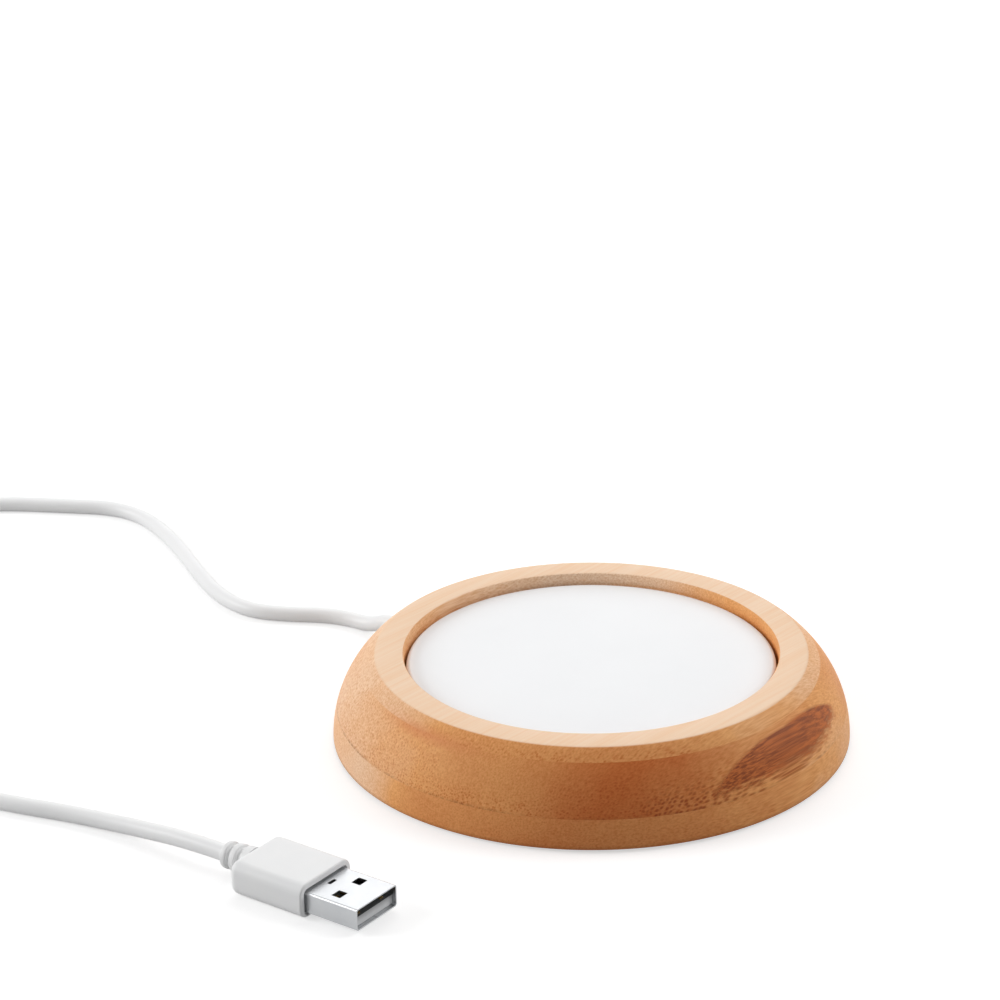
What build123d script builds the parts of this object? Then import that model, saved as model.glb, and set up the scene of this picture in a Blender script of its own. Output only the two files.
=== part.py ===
from build123d import *
import math
import os

# Electric mug warmer: a turned three-ply bamboo ring round a sprung steel heater plate, on a closed
# plastic base, with a thin USB lead. Millimetres, +Z up, the table at z = 0, the ring's axis on Z and
# the lead leaving on +Y.

# --- Bamboo ring ---------------------------------------------------------------------------------
opening_diameter = 75.8
lip_width = 5.8
ring_wall = 7.5
ledge_thickness = 6.0
lower_ply_height = 6.1
top_ply_height = 2.2
ring_edge_break = 0.3

# --- Base cover and feet -------------------------------------------------------------------------
foot_proud = 0.6
foot_diameter = 9.0
foot_seat_depth = 0.9
foot_circle_diameter = 68.0
foot_angles = (45, 135, 225, 315)
cover_recess = 0.4
cover_thickness = 1.8
cover_edge_break = 0.4

# --- Heater plate and what it carries ------------------------------------------------------------
plate_gap = 0.5
plate_recess = 2.2
plate_thickness = 1.0
plate_skirt_depth = 3.5
plate_edge_radius = 0.9
plate_travel = 1.0
film_thickness = 0.2
foil_thickness = 0.1
foil_track_width = 1.6
foil_track_pitch = 2.9
foil_inner_radius = 6.0
foil_gap_width = 7.2
pad_thickness = 2.8
carrier_thickness = 1.4
stud_diameter = 4.8
stud_angles = (90, 210, 330)
stud_to_film = 0.4
screw_dome_diameter = 6.0
screw_dome_height = 0.8
dome_edge_margin = 0.5
carrier_to_skirt = 1.4
guide_circle_diameter = 52.0
guide_angles = (30, 150, 270)
guide_boss_diameter = 5.2
guide_boss_height = 2.0
fuse_diameter = 2.2
fuse_length = 7.0
fuse_leg_diameter = 0.6
fuse_leg_length = 1.6
fuse_at = (12.0, 10.0)

# --- Inner tray ----------------------------------------------------------------------------------
skirt_gap = 0.8
tray_wall = 1.5
tray_floor_thickness = 1.3
tray_flange_thickness = 1.4
tray_flange_margin = 0.5
stop_rib_height = 0.25
stop_rib_width = 1.5
stop_rib_inset = 1.5
cup_wall = 0.9
cup_floor_thickness = 1.5
window_margin = 1.2
window_above_floor = 0.3

# --- Springs and shoulder screws -----------------------------------------------------------------
spring_outer_diameter = 5.8
spring_wire_diameter = 0.4
spring_turns = 4.5
spring_to_cup = 0.4
shoulder_diameter = 3.2
shoulder_head_diameter = 5.8
shoulder_head_height = 0.8
shoulder_thread_diameter = 2.0
shoulder_thread_length = 2.8

# --- Screws --------------------------------------------------------------------------------------
carrier_screw_diameter = 2.0
carrier_screw_head_diameter = 4.0
carrier_screw_head_height = 1.1
carrier_screw_grip = 1.8
tray_screw_diameter = 2.2
tray_screw_head_diameter = 4.0
tray_screw_head_height = 1.2
tray_screw_grip = 4.3
tray_screw_angles = (45, 135, 225, 315)
cover_screw_diameter = 2.0
cover_screw_head_diameter = 4.4
cover_screw_head_height = 0.95
cover_screw_grip = 4.2
cover_screw_circle_diameter = 70.0
cover_screw_angles = (0, 120, 240)
cover_boss_diameter = 5.2
board_screw_diameter = 1.6
board_screw_head_diameter = 3.4
board_screw_head_height = 0.9
board_screw_grip = 2.3
clamp_screw_diameter = 1.5
clamp_screw_head_diameter = 3.2
clamp_screw_head_height = 1.0
clamp_screw_grip = 1.8
screw_head_recess = 0.2
drive_slot_width = 0.5
drive_slot_depth = 0.4

# --- Control board, with its components placed from its middle -----------------------------------
board_length = 34.0
board_width = 24.0
board_thickness = 1.2
board_corner_radius = 1.2
board_at = (0.0, -6.0)
board_edge_to_screw = 3.0
standoff_diameter = 4.4
standoff_height = 1.8
under_board_space = 2.2
chip_length = 5.0
chip_width = 3.9
chip_height = 1.5
chip_at = (2.5, -3.0)
chip_legs_a_side = 4
chip_leg_pitch = 1.27
chip_leg_width = 0.45
chip_leg_length = 1.2
transistor_length = 6.4
transistor_width = 6.0
transistor_height = 1.6
transistor_from_board_end = 8.0
transistor_row_y = -3.5
transistor_tab_width = 5.4
transistor_tab_length = 1.4
transistor_leg_width = 0.9
transistor_leg_length = 2.2
transistor_leg_spacing = 4.4
leg_height = 0.6
leg_overlap = 0.3
resistor_size = (1.25, 2.0, 0.55)
resistor_first_at = (-2.6, -8.6)
resistor_pitch = 2.1
resistor_count = 5
capacitor_size = (1.6, 3.2, 1.4)
capacitor_from_board_end = 8.0
capacitor_row_y = -1.5
capacitor_pitch = 3.0
capacitor_count = 2
header_width = 7.6
header_depth = 5.0
header_from_middle = 8.6
switch_side = 6.4
switch_height = 3.0
switch_edge_break = 0.3
switch_at = (7.0, -6.0)
plunger_diameter = 3.0
plunger_length = 1.85
plunger_overtravel = 0.25
lead_hole_diameter = 7.4
lead_hole_at = (-7.6, -1.4)
lead_diameter = 1.0
lead_bow = 1.2
lead_places = ((-5.9, -3.3), (-8.4, 0.0))

# --- Lead: cord, its cores, strain relief and clamp ------------------------------------------------
cord_diameter = 3.4
cord_to_clamp_end = 5.0
wire_diameter = 1.1
wire_spacing = 2.4
wire_bow = 2.9
wire_straight = 4.6
relief_wall = 1.65
relief_root_step = 0.25
relief_tip_wall = 0.65
relief_length = 4.0
relief_flange_width = 11.0
relief_flange_thickness = 1.9
relief_flange_height = 6.2
relief_grooves = 2
relief_groove_width = 0.6
relief_groove_depth = 0.4
clamp_from_y = 36.0
clamp_width = 5.0
clamp_thickness = 2.0
clamp_above_axis = 0.6
clamp_corner_radius = 1.2
clamp_boss_diameter = 4.2
clamp_boss_gap = 0.6
cord_seat_wall = 0.8
cord_seat_below_axis = 0.85

# --- USB plug ------------------------------------------------------------------------------------
shell_width = 12.0
shell_height = 4.5
shell_exposed = 11.9
shell_hidden = 6.6
shell_sheet = 0.3
shell_corner_radius = 0.6
shell_window_width = 2.3
shell_window_length = 2.0
shell_window_spacing = 5.9
shell_window_from_tip = 6.3
shell_slot_width = 2.0
shell_slot_length = 0.8
shell_slot_from_root = 1.5
tongue_thickness = 1.84
tongue_setback = 0.9
contact_width = 1.0
contact_thickness = 0.15
contact_setback = 0.7
outer_contact_length = 7.4
outer_contact_spacing = 7.0
inner_contact_length = 6.4
inner_contact_spacing = 2.0
overmould_length = 17.4
overmould_side_wall = 1.5
overmould_top_wall = 1.55
overmould_bottom_wall = 0.95
overmould_corner_radius = 2.2
overmould_rear_radius = 1.8
overmould_front_radius = 0.4
overmould_rim_gap = 0.4
overmould_rim_depth = 0.9
collar_length = 6.2
collar_root_wall = 1.45
collar_tip_wall = 0.95
collar_grooves = 2
collar_groove_width = 1.0
collar_groove_depth = 0.75
plug_tip = (-83.9, -28.3)
plug_heading = -79.6
cord_straight_behind_plug = 9.7

# --- Put-away coil -------------------------------------------------------------------------------
coil_centre = (-79.9, 150.6)
coil_middle_diameter = 40.8
coil_columns = 4
coil_layers = 2
coil_edge_softening = 0.85
tie_width = 4.0
tie_thickness = 0.6
tie_corner_radius = 0.2
tie_angle = 20.0

# --- Clearances ----------------------------------------------------------------------------------
moulding_clearance = 0.3
relief_clearance = 0.15
running_clearance = 0.05
thread_clearance = 0.05
screw_hole_clearance = 0.2
part_clearance = 0.3
cut_margin = 1.0

# --- Heights above the table, from the base up ------------------------------------------------------
ring_bottom = foot_proud
cover_bottom = ring_bottom + cover_recess
cover_top = cover_bottom + cover_thickness
cord_radius = cord_diameter / 2
exit_height = cover_top + part_clearance + cord_radius
clamp_bottom = exit_height + clamp_above_axis
clamp_top = clamp_bottom + clamp_thickness
board_bottom = cover_top + under_board_space
board_top = board_bottom + board_thickness
header_height = under_board_space - part_clearance
tray_floor_bottom = board_top + standoff_height
tray_floor_top = tray_floor_bottom + tray_floor_thickness
stop_height = tray_floor_top + stop_rib_height
carrier_bottom = stop_height + running_clearance + plate_travel
carrier_top = carrier_bottom + carrier_thickness
screw_dome_top = carrier_top + screw_dome_height
foil_underside = carrier_top + pad_thickness
film_underside = foil_underside + foil_thickness
plate_underside = film_underside + film_thickness
plate_top = plate_underside + plate_thickness
ring_top = plate_top + plate_recess
ledge_bottom = ring_top - ledge_thickness
flange_bottom = ledge_bottom - tray_flange_thickness
cup_floor_bottom = cover_top + moulding_clearance + plate_travel + shoulder_head_height
cup_floor_top = cup_floor_bottom + cup_floor_thickness
overmould_height = overmould_bottom_wall + shell_height + overmould_top_wall
overmould_middle_height = overmould_height / 2
shell_middle_height = overmould_bottom_wall + shell_height / 2
coil_bottom = tie_thickness

# --- Radii and places, from the plate out -----------------------------------------------------------
opening_radius = opening_diameter / 2
plate_radius = opening_radius - plate_gap
tray_inner_radius = plate_radius + skirt_gap
tray_outer_radius = tray_inner_radius + tray_wall
cover_radius = tray_outer_radius + tray_screw_head_diameter + 2 * tray_flange_margin
pocket_radius = cover_radius + moulding_clearance
ring_radius = pocket_radius + ring_wall
top_face_radius = opening_radius + lip_width
carrier_radius = plate_radius - plate_thickness - carrier_to_skirt
stud_circle_diameter = 2 * (carrier_radius - dome_edge_margin) - screw_dome_diameter
film_diameter = stud_circle_diameter - stud_diameter - 2 * stud_to_film
tray_screw_circle_diameter = tray_outer_radius + cover_radius
stop_rib_radius = carrier_radius - stop_rib_inset
cup_bore_diameter = spring_outer_diameter + 2 * spring_to_cup
cup_diameter = cup_bore_diameter + 2 * cup_wall
relief_width = cord_diameter + 2 * relief_wall
relief_root_diameter = relief_width - 2 * relief_root_step
relief_tip_diameter = cord_diameter + 2 * relief_tip_wall
relief_tip_y = ring_radius + relief_length
relief_snout_y = ring_radius - relief_flange_thickness
notch_width = relief_width + 2 * relief_clearance
cord_seat_width = cord_diameter + 2 * cord_seat_wall
clamp_screw_spacing = cord_seat_width + clamp_boss_diameter + 2 * clamp_boss_gap
clamp_length = clamp_screw_spacing + clamp_boss_diameter
clamp_middle_y = clamp_from_y + clamp_width / 2
inner_cord_end_y = clamp_from_y - cord_to_clamp_end
header_y = board_at[1] + header_from_middle
transistor_at = (transistor_from_board_end - board_length / 2, transistor_row_y)
capacitor_first_at = (board_length / 2 - capacitor_from_board_end, capacitor_row_y)
overmould_width = shell_width + 2 * overmould_side_wall
overmould_rear_x = -shell_exposed - overmould_length
collar_end_x = overmould_rear_x - collar_length
shell_rear_x = -shell_exposed - shell_hidden
tongue_height = shell_height - 2 * shell_sheet - 2 * running_clearance
tongue_top = shell_middle_height - tongue_height / 2 + tongue_thickness

ON_BASE = (Align.CENTER, Align.CENTER, Align.MIN)


def polar(diameter, degrees):
    """A point on a circle about the ring's axis."""
    angle = math.radians(degrees)
    return (diameter / 2 * math.cos(angle), diameter / 2 * math.sin(angle))


def post(diameter, bottom, top, at=(0.0, 0.0)):
    """An upright cylinder between two heights."""
    return Pos(at[0], at[1], bottom) * Cylinder(diameter / 2, top - bottom, align=ON_BASE)


def block(x_size, y_size, bottom, top, at=(0.0, 0.0)):
    """An upright box between two heights."""
    return Pos(at[0], at[1], bottom) * Box(x_size, y_size, top - bottom, align=ON_BASE)


def turned(*points):
    """A solid of revolution about Z from (radius, height) points."""
    face = make_face(Polyline(*[(r, 0, z) for r, z in points], close=True))
    return revolve(face, Axis.Z)


def screw(diameter, head_diameter, head_height, length, head_bottom, at):
    """A pan-head screw pointing up, its slotted head below the shank."""
    head_top = head_bottom + head_height
    body = post(head_diameter, head_bottom, head_top, at)
    body += post(diameter, head_top, head_top + length, at)
    return body - block(head_diameter, drive_slot_width, head_bottom, head_bottom + drive_slot_depth, at)


foot_places = [polar(foot_circle_diameter, a) for a in foot_angles]
stud_places = [polar(stud_circle_diameter, a) for a in stud_angles]
guide_places = [polar(guide_circle_diameter, a) for a in guide_angles]
tray_screw_places = [polar(tray_screw_circle_diameter, a) for a in tray_screw_angles]
cover_screw_places = [polar(cover_screw_circle_diameter, a) for a in cover_screw_angles]
board_screw_places = [
    (board_at[0] + sx * (board_length / 2 - board_edge_to_screw),
     board_at[1] + sy * (board_width / 2 - board_edge_to_screw))
    for sx in (-1, 1) for sy in (-1, 1)
]
clamp_screw_places = [(sx * clamp_screw_spacing / 2, clamp_middle_y) for sx in (-1, 1)]


def exit_arch(width, y_from, y_to, bottom):
    """A round-topped slot along Y about the lead's axis, flat below."""
    arch = Pos(0, y_to, exit_height) * Rot(90, 0, 0) * Cylinder(width / 2, y_to - y_from, align=ON_BASE)
    return arch + block(width, y_to - y_from, bottom, exit_height, (0, (y_from + y_to) / 2))


def lead_bore(y_from, y_to):
    """The space of the cord along its straight run through the wall, with its fit."""
    bore = Cylinder(cord_radius + running_clearance, y_to - y_from, align=ON_BASE)
    return Pos(0, y_to, exit_height) * Rot(90, 0, 0) * bore


# --- Bamboo ring: one turned profile, glued up from three plies ------------------------------------
def whole_ring():
    outer = TangentArc((ring_radius, 0, ring_bottom), (top_face_radius, 0, ring_top), tangent=(0, 0, 1))
    rest = Polyline(
        (top_face_radius, 0, ring_top),
        (opening_radius, 0, ring_top),
        (opening_radius, 0, ledge_bottom),
        (pocket_radius, 0, ledge_bottom),
        (pocket_radius, 0, ring_bottom),
        (ring_radius, 0, ring_bottom),
    )
    ring = revolve(make_face([outer, rest]), Axis.Z)
    rims = ring.edges().filter_by(GeomType.CIRCLE).group_by(Axis.Z)
    outer_rim = rims[0].sort_by(SortBy.RADIUS)[-1]
    ring = fillet([*rims[-1], outer_rim], ring_edge_break)
    ring -= exit_arch(notch_width, opening_radius, ring_radius + cut_margin, 0)
    pilot_top = ledge_bottom + tray_screw_grip + screw_hole_clearance
    for place in tray_screw_places:
        ring -= post(tray_screw_diameter + 2 * thread_clearance, ledge_bottom, pilot_top, place)
    return ring


def ring_ply(ring, bottom, top):
    """The slice of the ring between two glue lines."""
    return ring & post(2 * (ring_radius + cut_margin), bottom, top)


# --- Base ----------------------------------------------------------------------------------------
def base_cover():
    cover = post(2 * cover_radius, cover_bottom, cover_top)
    cover = chamfer(cover.edges().group_by(Axis.Z)[0], cover_edge_break)
    for place in foot_places:
        cover -= post(foot_diameter + 2 * running_clearance, cover_bottom, cover_bottom + foot_seat_depth, place)
    head_seat = cover_bottom + screw_head_recess + cover_screw_head_height
    for place in cover_screw_places:
        cover -= post(cover_screw_head_diameter + 2 * screw_hole_clearance, cover_bottom, head_seat, place)
        cover -= post(cover_screw_diameter + 2 * screw_hole_clearance, cover_bottom, cover_top, place)
    # A grooved seat under the lead, and two bosses for its clamp.
    seat_top = exit_height - cord_seat_below_axis
    cover += block(cord_seat_width, clamp_width, cover_top, seat_top, (0, clamp_middle_y))
    for place in clamp_screw_places:
        cover += post(clamp_boss_diameter, cover_top, clamp_bottom, place)
        cover -= post(clamp_screw_diameter + 2 * thread_clearance, cover_top, clamp_bottom, place)
    return cover - lead_bore(clamp_from_y, clamp_from_y + clamp_width)


def rubber_foot(place):
    foot = post(foot_diameter, 0, cover_bottom + foot_seat_depth, place)
    return chamfer(foot.edges().group_by(Axis.Z)[0], cover_edge_break)


def cover_screws():
    head_bottom = cover_bottom + screw_head_recess
    length = cover_top - head_bottom - cover_screw_head_height + cover_screw_grip
    return [
        screw(cover_screw_diameter, cover_screw_head_diameter, cover_screw_head_height,
              length, head_bottom, place)
        for place in cover_screw_places
    ]


def inner_tray():
    tray = turned(
        (0, tray_floor_bottom),
        (tray_outer_radius, tray_floor_bottom),
        (tray_outer_radius, flange_bottom),
        (cover_radius, flange_bottom),
        (cover_radius, ledge_bottom),
        (tray_inner_radius, ledge_bottom),
        (tray_inner_radius, tray_floor_top),
        (0, tray_floor_top),
    )
    tray += post(2 * stop_rib_radius, tray_floor_top, stop_height)
    tray -= post(2 * (stop_rib_radius - stop_rib_width), tray_floor_top, stop_height)
    for place in guide_places:
        tray += post(cup_diameter, cup_floor_bottom, tray_floor_top, place)
        tray -= post(cup_bore_diameter, cup_floor_top, stop_height, place)
        tray -= post(shoulder_diameter + 2 * running_clearance, cup_floor_bottom, cup_floor_top, place)
    for place in cover_screw_places:
        tray += post(cover_boss_diameter, cover_top, tray_floor_bottom, place)
        pilot_top = cover_top + cover_screw_grip + screw_hole_clearance
        tray -= post(cover_screw_diameter + 2 * thread_clearance, cover_top, pilot_top, place)
    for place in board_screw_places:
        tray += post(standoff_diameter, board_top, tray_floor_bottom, place)
        pilot_top = board_top + board_screw_grip + screw_hole_clearance
        tray -= post(board_screw_diameter + 2 * thread_clearance, board_top, pilot_top, place)
    for place in tray_screw_places:
        tray -= post(tray_screw_diameter + 2 * screw_hole_clearance, flange_bottom, ledge_bottom, place)
    opening = switch_side + 2 * part_clearance
    tray -= block(opening, opening, tray_floor_bottom, tray_floor_top, switch_at)
    tray -= post(lead_hole_diameter, tray_floor_bottom, tray_floor_top, lead_hole_at)
    # A window over the cord clamp, open to the tray's edge.
    window_from_y = clamp_from_y - window_margin
    window_depth = ring_radius - window_from_y
    window_at = (0, window_from_y + window_depth / 2)
    window_top = tray_floor_top + window_above_floor
    tray -= block(clamp_length + 2 * window_margin, window_depth, tray_floor_bottom, window_top, window_at)
    return tray


def tray_screws():
    head_bottom = flange_bottom - tray_screw_head_height
    return [
        screw(tray_screw_diameter, tray_screw_head_diameter, tray_screw_head_height,
              tray_flange_thickness + tray_screw_grip, head_bottom, place)
        for place in tray_screw_places
    ]


# --- Heater plate and what moves with it -----------------------------------------------------------
def heater_plate():
    skirt_bottom = plate_top - plate_skirt_depth
    plate = post(2 * plate_radius, skirt_bottom, plate_top)
    plate = fillet(plate.edges().group_by(Axis.Z)[-1], plate_edge_radius)
    plate -= post(2 * (plate_radius - plate_thickness), skirt_bottom, plate_underside)
    pilot_top = screw_dome_top + carrier_screw_grip + screw_hole_clearance
    for place in stud_places:
        plate += post(stud_diameter, screw_dome_top, plate_underside, place)
        plate -= post(carrier_screw_diameter + 2 * thread_clearance, screw_dome_top, pilot_top, place)
    return plate


def heater_film():
    return post(film_diameter, film_underside, plate_underside)


def track_x(radius, y):
    """Where an arc of the heating track meets a height in Y, on its open side."""
    return -math.sqrt(radius ** 2 - y ** 2)


def heater_foil():
    """A folded track of concentric arcs, open on one side, with both ends near the lead hole."""
    half_track = foil_track_width / 2
    last_radius = film_diameter / 2 - part_clearance - half_track
    arc_count = int((last_radius - foil_inner_radius) / foil_track_pitch) + 1
    radii = [foil_inner_radius + foil_track_pitch * count for count in range(arc_count)]
    gap = Pos(-film_diameter / 2, 0) * Rectangle(film_diameter, foil_gap_width)
    arcs = [Circle(radius + half_track) - Circle(radius - half_track) - gap for radius in radii]
    sheet = arcs[0]
    for arc in arcs[1:]:
        sheet += arc
    link_y = foil_gap_width / 2 + half_track
    side = 1
    for inner, outer in zip(radii, radii[1:]):
        from_x, to_x = track_x(outer, link_y), track_x(inner, link_y)
        link = Rectangle(to_x - from_x, foil_track_width)
        sheet += Pos((from_x + to_x) / 2, side * link_y) * link
        side = -side
    # The outer end returns along the middle of the gap.
    outer_x = track_x(radii[-1], link_y)
    sheet += Pos(outer_x, side * link_y / 2) * Rectangle(foil_track_width, link_y + foil_track_width)
    back_x = -foil_inner_radius - foil_track_width
    sheet += Pos((outer_x + back_x) / 2, 0) * Rectangle(back_x - outer_x + foil_track_width, foil_track_width)
    return Pos(0, 0, foil_underside) * extrude(sheet, foil_thickness)


def insulation_pad():
    pad = post(film_diameter, carrier_top, foil_underside)
    for place in guide_places:
        pad -= post(guide_boss_diameter + 2 * part_clearance, carrier_top, foil_underside, place)
    for place in stud_places:
        pad -= post(screw_dome_diameter + 2 * part_clearance, carrier_top, foil_underside, place)
    pad -= post(lead_hole_diameter, carrier_top, foil_underside, lead_hole_at)
    slot_length = fuse_length + 2 * fuse_leg_length + 2 * part_clearance
    return pad - block(slot_length, fuse_diameter + 2 * part_clearance, carrier_top, foil_underside, fuse_at)


def thermal_fuse():
    height = foil_underside - running_clearance - fuse_diameter / 2
    along_x = Pos(fuse_at[0], fuse_at[1], height) * Rot(0, 90, 0)
    fuse = along_x * Cylinder(fuse_diameter / 2, fuse_length)
    return fuse + along_x * Cylinder(fuse_leg_diameter / 2, fuse_length + 2 * fuse_leg_length)


def plate_carrier():
    carrier = post(2 * carrier_radius, carrier_bottom, carrier_top)
    for place in guide_places:
        carrier += post(guide_boss_diameter, carrier_top, carrier_top + guide_boss_height, place)
        pilot_top = carrier_bottom + shoulder_thread_length + screw_hole_clearance
        carrier -= post(shoulder_thread_diameter + 2 * thread_clearance, carrier_bottom, pilot_top, place)
    head_seat = carrier_bottom + running_clearance + carrier_screw_head_height
    for place in stud_places:
        carrier += post(screw_dome_diameter, carrier_top, screw_dome_top, place)
        carrier -= post(carrier_screw_head_diameter + 2 * screw_hole_clearance, carrier_bottom, head_seat, place)
        carrier -= post(carrier_screw_diameter + 2 * screw_hole_clearance, carrier_bottom, screw_dome_top, place)
    return carrier - post(lead_hole_diameter, carrier_bottom, carrier_top, lead_hole_at)


def carrier_screws():
    head_bottom = carrier_bottom + running_clearance
    length = screw_dome_top - head_bottom - carrier_screw_head_height + carrier_screw_grip
    return [
        screw(carrier_screw_diameter, carrier_screw_head_diameter, carrier_screw_head_height,
              length, head_bottom, place)
        for place in stud_places
    ]


def shoulder_screws():
    """Guide pins of the plate: the head under the tray is the upper stop, the thread holds the carrier."""
    head_bottom = cup_floor_bottom - shoulder_head_height
    pins = []
    for place in guide_places:
        pin = screw(shoulder_diameter, shoulder_head_diameter, shoulder_head_height,
                    carrier_bottom - cup_floor_bottom, head_bottom, place)
        pin += post(shoulder_thread_diameter, carrier_bottom, carrier_bottom + shoulder_thread_length, place)
        pins.append(pin)
    return pins


def return_spring(place):
    wire_radius = spring_wire_diameter / 2
    coil_radius = spring_outer_diameter / 2 - wire_radius
    low = cup_floor_top + wire_radius + running_clearance
    high = carrier_bottom - wire_radius - running_clearance
    path = Helix(pitch=(high - low) / spring_turns, height=high - low, radius=coil_radius)
    start = Plane(origin=path @ 0, z_dir=path % 0)
    return Pos(place[0], place[1], low) * sweep(start * Circle(wire_radius), path=path, is_frenet=True)


# --- Switch and control board --------------------------------------------------------------------
def micro_switch():
    top = board_top + switch_height
    body = block(switch_side, switch_side, board_top, top, switch_at)
    body = chamfer(body.edges().group_by(Axis.Z)[-1], switch_edge_break)
    bore_floor = carrier_bottom - plunger_length - plate_travel - plunger_overtravel
    return body - post(plunger_diameter + 2 * running_clearance, bore_floor, top, switch_at)


def switch_plunger():
    plunger = post(plunger_diameter, carrier_bottom - plunger_length, carrier_bottom, switch_at)
    return chamfer(plunger.edges().group_by(Axis.Z)[-1], switch_edge_break)


def control_board():
    board = block(board_length, board_width, board_bottom, board_top, board_at)
    board = fillet(board.edges().filter_by(Axis.Z), board_corner_radius)
    for place in board_screw_places:
        board -= post(board_screw_diameter + 2 * screw_hole_clearance, board_bottom, board_top, place)
    return board


def board_screws():
    head_bottom = board_bottom - board_screw_head_height
    return [
        screw(board_screw_diameter, board_screw_head_diameter, board_screw_head_height,
              board_thickness + board_screw_grip, head_bottom, place)
        for place in board_screw_places
    ]


def under_board(x_size, y_size, height, x, y):
    """A component soldered to the board's underside, placed from the board's middle."""
    return block(x_size, y_size, board_bottom - height, board_bottom, (board_at[0] + x, board_at[1] + y))


def control_chip():
    x, y = chip_at
    chip = under_board(chip_length, chip_width, chip_height, x, y)
    leg_y = (chip_width + chip_leg_length) / 2 - leg_overlap
    for count in range(chip_legs_a_side):
        leg_x = (count - (chip_legs_a_side - 1) / 2) * chip_leg_pitch
        for side in (-1, 1):
            chip += under_board(chip_leg_width, chip_leg_length, leg_height, x + leg_x, y + side * leg_y)
    return chip


def power_transistor():
    x, y = transistor_at
    body = under_board(transistor_length, transistor_width, transistor_height, x, y)
    tab_y = (transistor_width + transistor_tab_length) / 2 - leg_overlap
    body += under_board(transistor_tab_width, transistor_tab_length, leg_height, x, y + tab_y)
    leg_y = (transistor_width + transistor_leg_length) / 2 - leg_overlap
    for side in (-1, 1):
        leg_x = side * transistor_leg_spacing / 2
        body += under_board(transistor_leg_width, transistor_leg_length, leg_height, x + leg_x, y - leg_y)
    return body


def row_under_board(size, first_at, pitch, count):
    """Like components side by side along X."""
    x, y = first_at
    return [under_board(*size, x + pitch * step, y) for step in range(count)]


def supply_header():
    header = under_board(header_width, header_depth, header_height, 0.0, header_from_middle)
    wire_height = board_bottom - header_height / 2
    socket = Cylinder(wire_diameter / 2 + running_clearance, header_depth, align=ON_BASE)
    for side in (-1, 1):
        header -= Pos(side * wire_spacing / 2, header_y + header_depth / 2, wire_height) * Rot(90, 0, 0) * socket
    return header


def wire(points, diameter, bend_radius):
    path = FilletPolyline(*points, radius=bend_radius)
    return sweep(Plane(origin=path @ 0, z_dir=path % 0) * Circle(diameter / 2), path=path)


def supply_wire(side):
    """One core of the lead, from its stripped end to the header on the board."""
    start_x = side * (wire_diameter / 2 + running_clearance)
    end_x = side * wire_spacing / 2
    wire_height = board_bottom - header_height / 2
    points = [
        (start_x, inner_cord_end_y, exit_height),
        (start_x, inner_cord_end_y - wire_straight, exit_height),
        (side * wire_bow, (inner_cord_end_y + header_y) / 2, (exit_height + wire_height) / 2),
        (end_x, header_y + header_depth / 2 + wire_straight, wire_height),
        (end_x, header_y, wire_height),
    ]
    return wire(points, wire_diameter, 2 * wire_diameter)


def heater_lead(place):
    """A flexible lead with a little slack, from the board up to one end of the heating track."""
    rise = foil_underside - board_top
    bow_at_share = ((0, 0), (0, 0.2), (lead_bow, 0.5), (0, 0.8), (0, 1))
    points = [(place[0] - bow, place[1], board_top + rise * share) for bow, share in bow_at_share]
    return wire(points, lead_diameter, lead_diameter)


# --- Lead: strain relief, clamp and the cord inside the base ---------------------------------------
def along_exit(points):
    """A solid of revolution about the lead's axis from (radius, y) points."""
    face = make_face(Polyline(*[(r, y, 0) for r, y in points], close=True))
    return Pos(0, 0, exit_height) * revolve(face, Axis.Y)


def strain_relief():
    seat_radius = pocket_radius - relief_clearance
    flange_low = cover_top + relief_clearance
    flange_high = flange_low + relief_flange_height
    root_radius, tip_radius = relief_root_diameter / 2, relief_tip_diameter / 2
    relief = exit_arch(relief_width, opening_radius, relief_snout_y, ring_bottom + relief_clearance)
    relief -= post(2 * seat_radius, 0, ring_top)
    flange = post(2 * seat_radius, flange_low, flange_high)
    flange -= post(2 * (seat_radius - relief_flange_thickness), flange_low, flange_high)
    flange &= block(relief_flange_width, 2 * pocket_radius, flange_low, flange_high, (0, pocket_radius))
    relief += flange
    relief += along_exit([
        (0, seat_radius), (root_radius, seat_radius), (root_radius, relief_snout_y),
        (tip_radius, relief_tip_y), (0, relief_tip_y),
    ])
    pitch = relief_length / (relief_grooves + 1)
    taper = (tip_radius - root_radius) / (relief_tip_y - relief_snout_y)
    for count in range(relief_grooves):
        middle = ring_radius + pitch * (count + 1)
        low, high = middle - relief_groove_width / 2, middle + relief_groove_width / 2
        floor = root_radius + taper * (middle - relief_snout_y) - relief_groove_depth
        relief -= along_exit([
            (floor, low), (root_radius + cut_margin, low), (root_radius + cut_margin, high), (floor, high),
        ])
    return relief - lead_bore(clamp_from_y, relief_tip_y)


def lead_in_cord():
    length = relief_tip_y - inner_cord_end_y
    return Pos(0, relief_tip_y, exit_height) * Rot(90, 0, 0) * Cylinder(cord_radius, length, align=ON_BASE)


def cord_clamp():
    clamp = block(clamp_length, clamp_width, clamp_bottom, clamp_top, (0, clamp_middle_y))
    clamp = fillet(clamp.edges().filter_by(Axis.Z), clamp_corner_radius)
    for place in clamp_screw_places:
        clamp -= post(clamp_screw_diameter + 2 * screw_hole_clearance, clamp_bottom, clamp_top, place)
    return clamp - lead_bore(clamp_from_y, clamp_from_y + clamp_width)


def clamp_screws():
    head_top = clamp_top + clamp_screw_head_height
    screws = []
    for place in clamp_screw_places:
        body = post(clamp_screw_head_diameter, clamp_top, head_top, place)
        body += post(clamp_screw_diameter, clamp_bottom - clamp_screw_grip, clamp_top, place)
        slot = block(clamp_screw_head_diameter, drive_slot_width, head_top - drive_slot_depth, head_top, place)
        screws.append(body - slot)
    return screws


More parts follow.
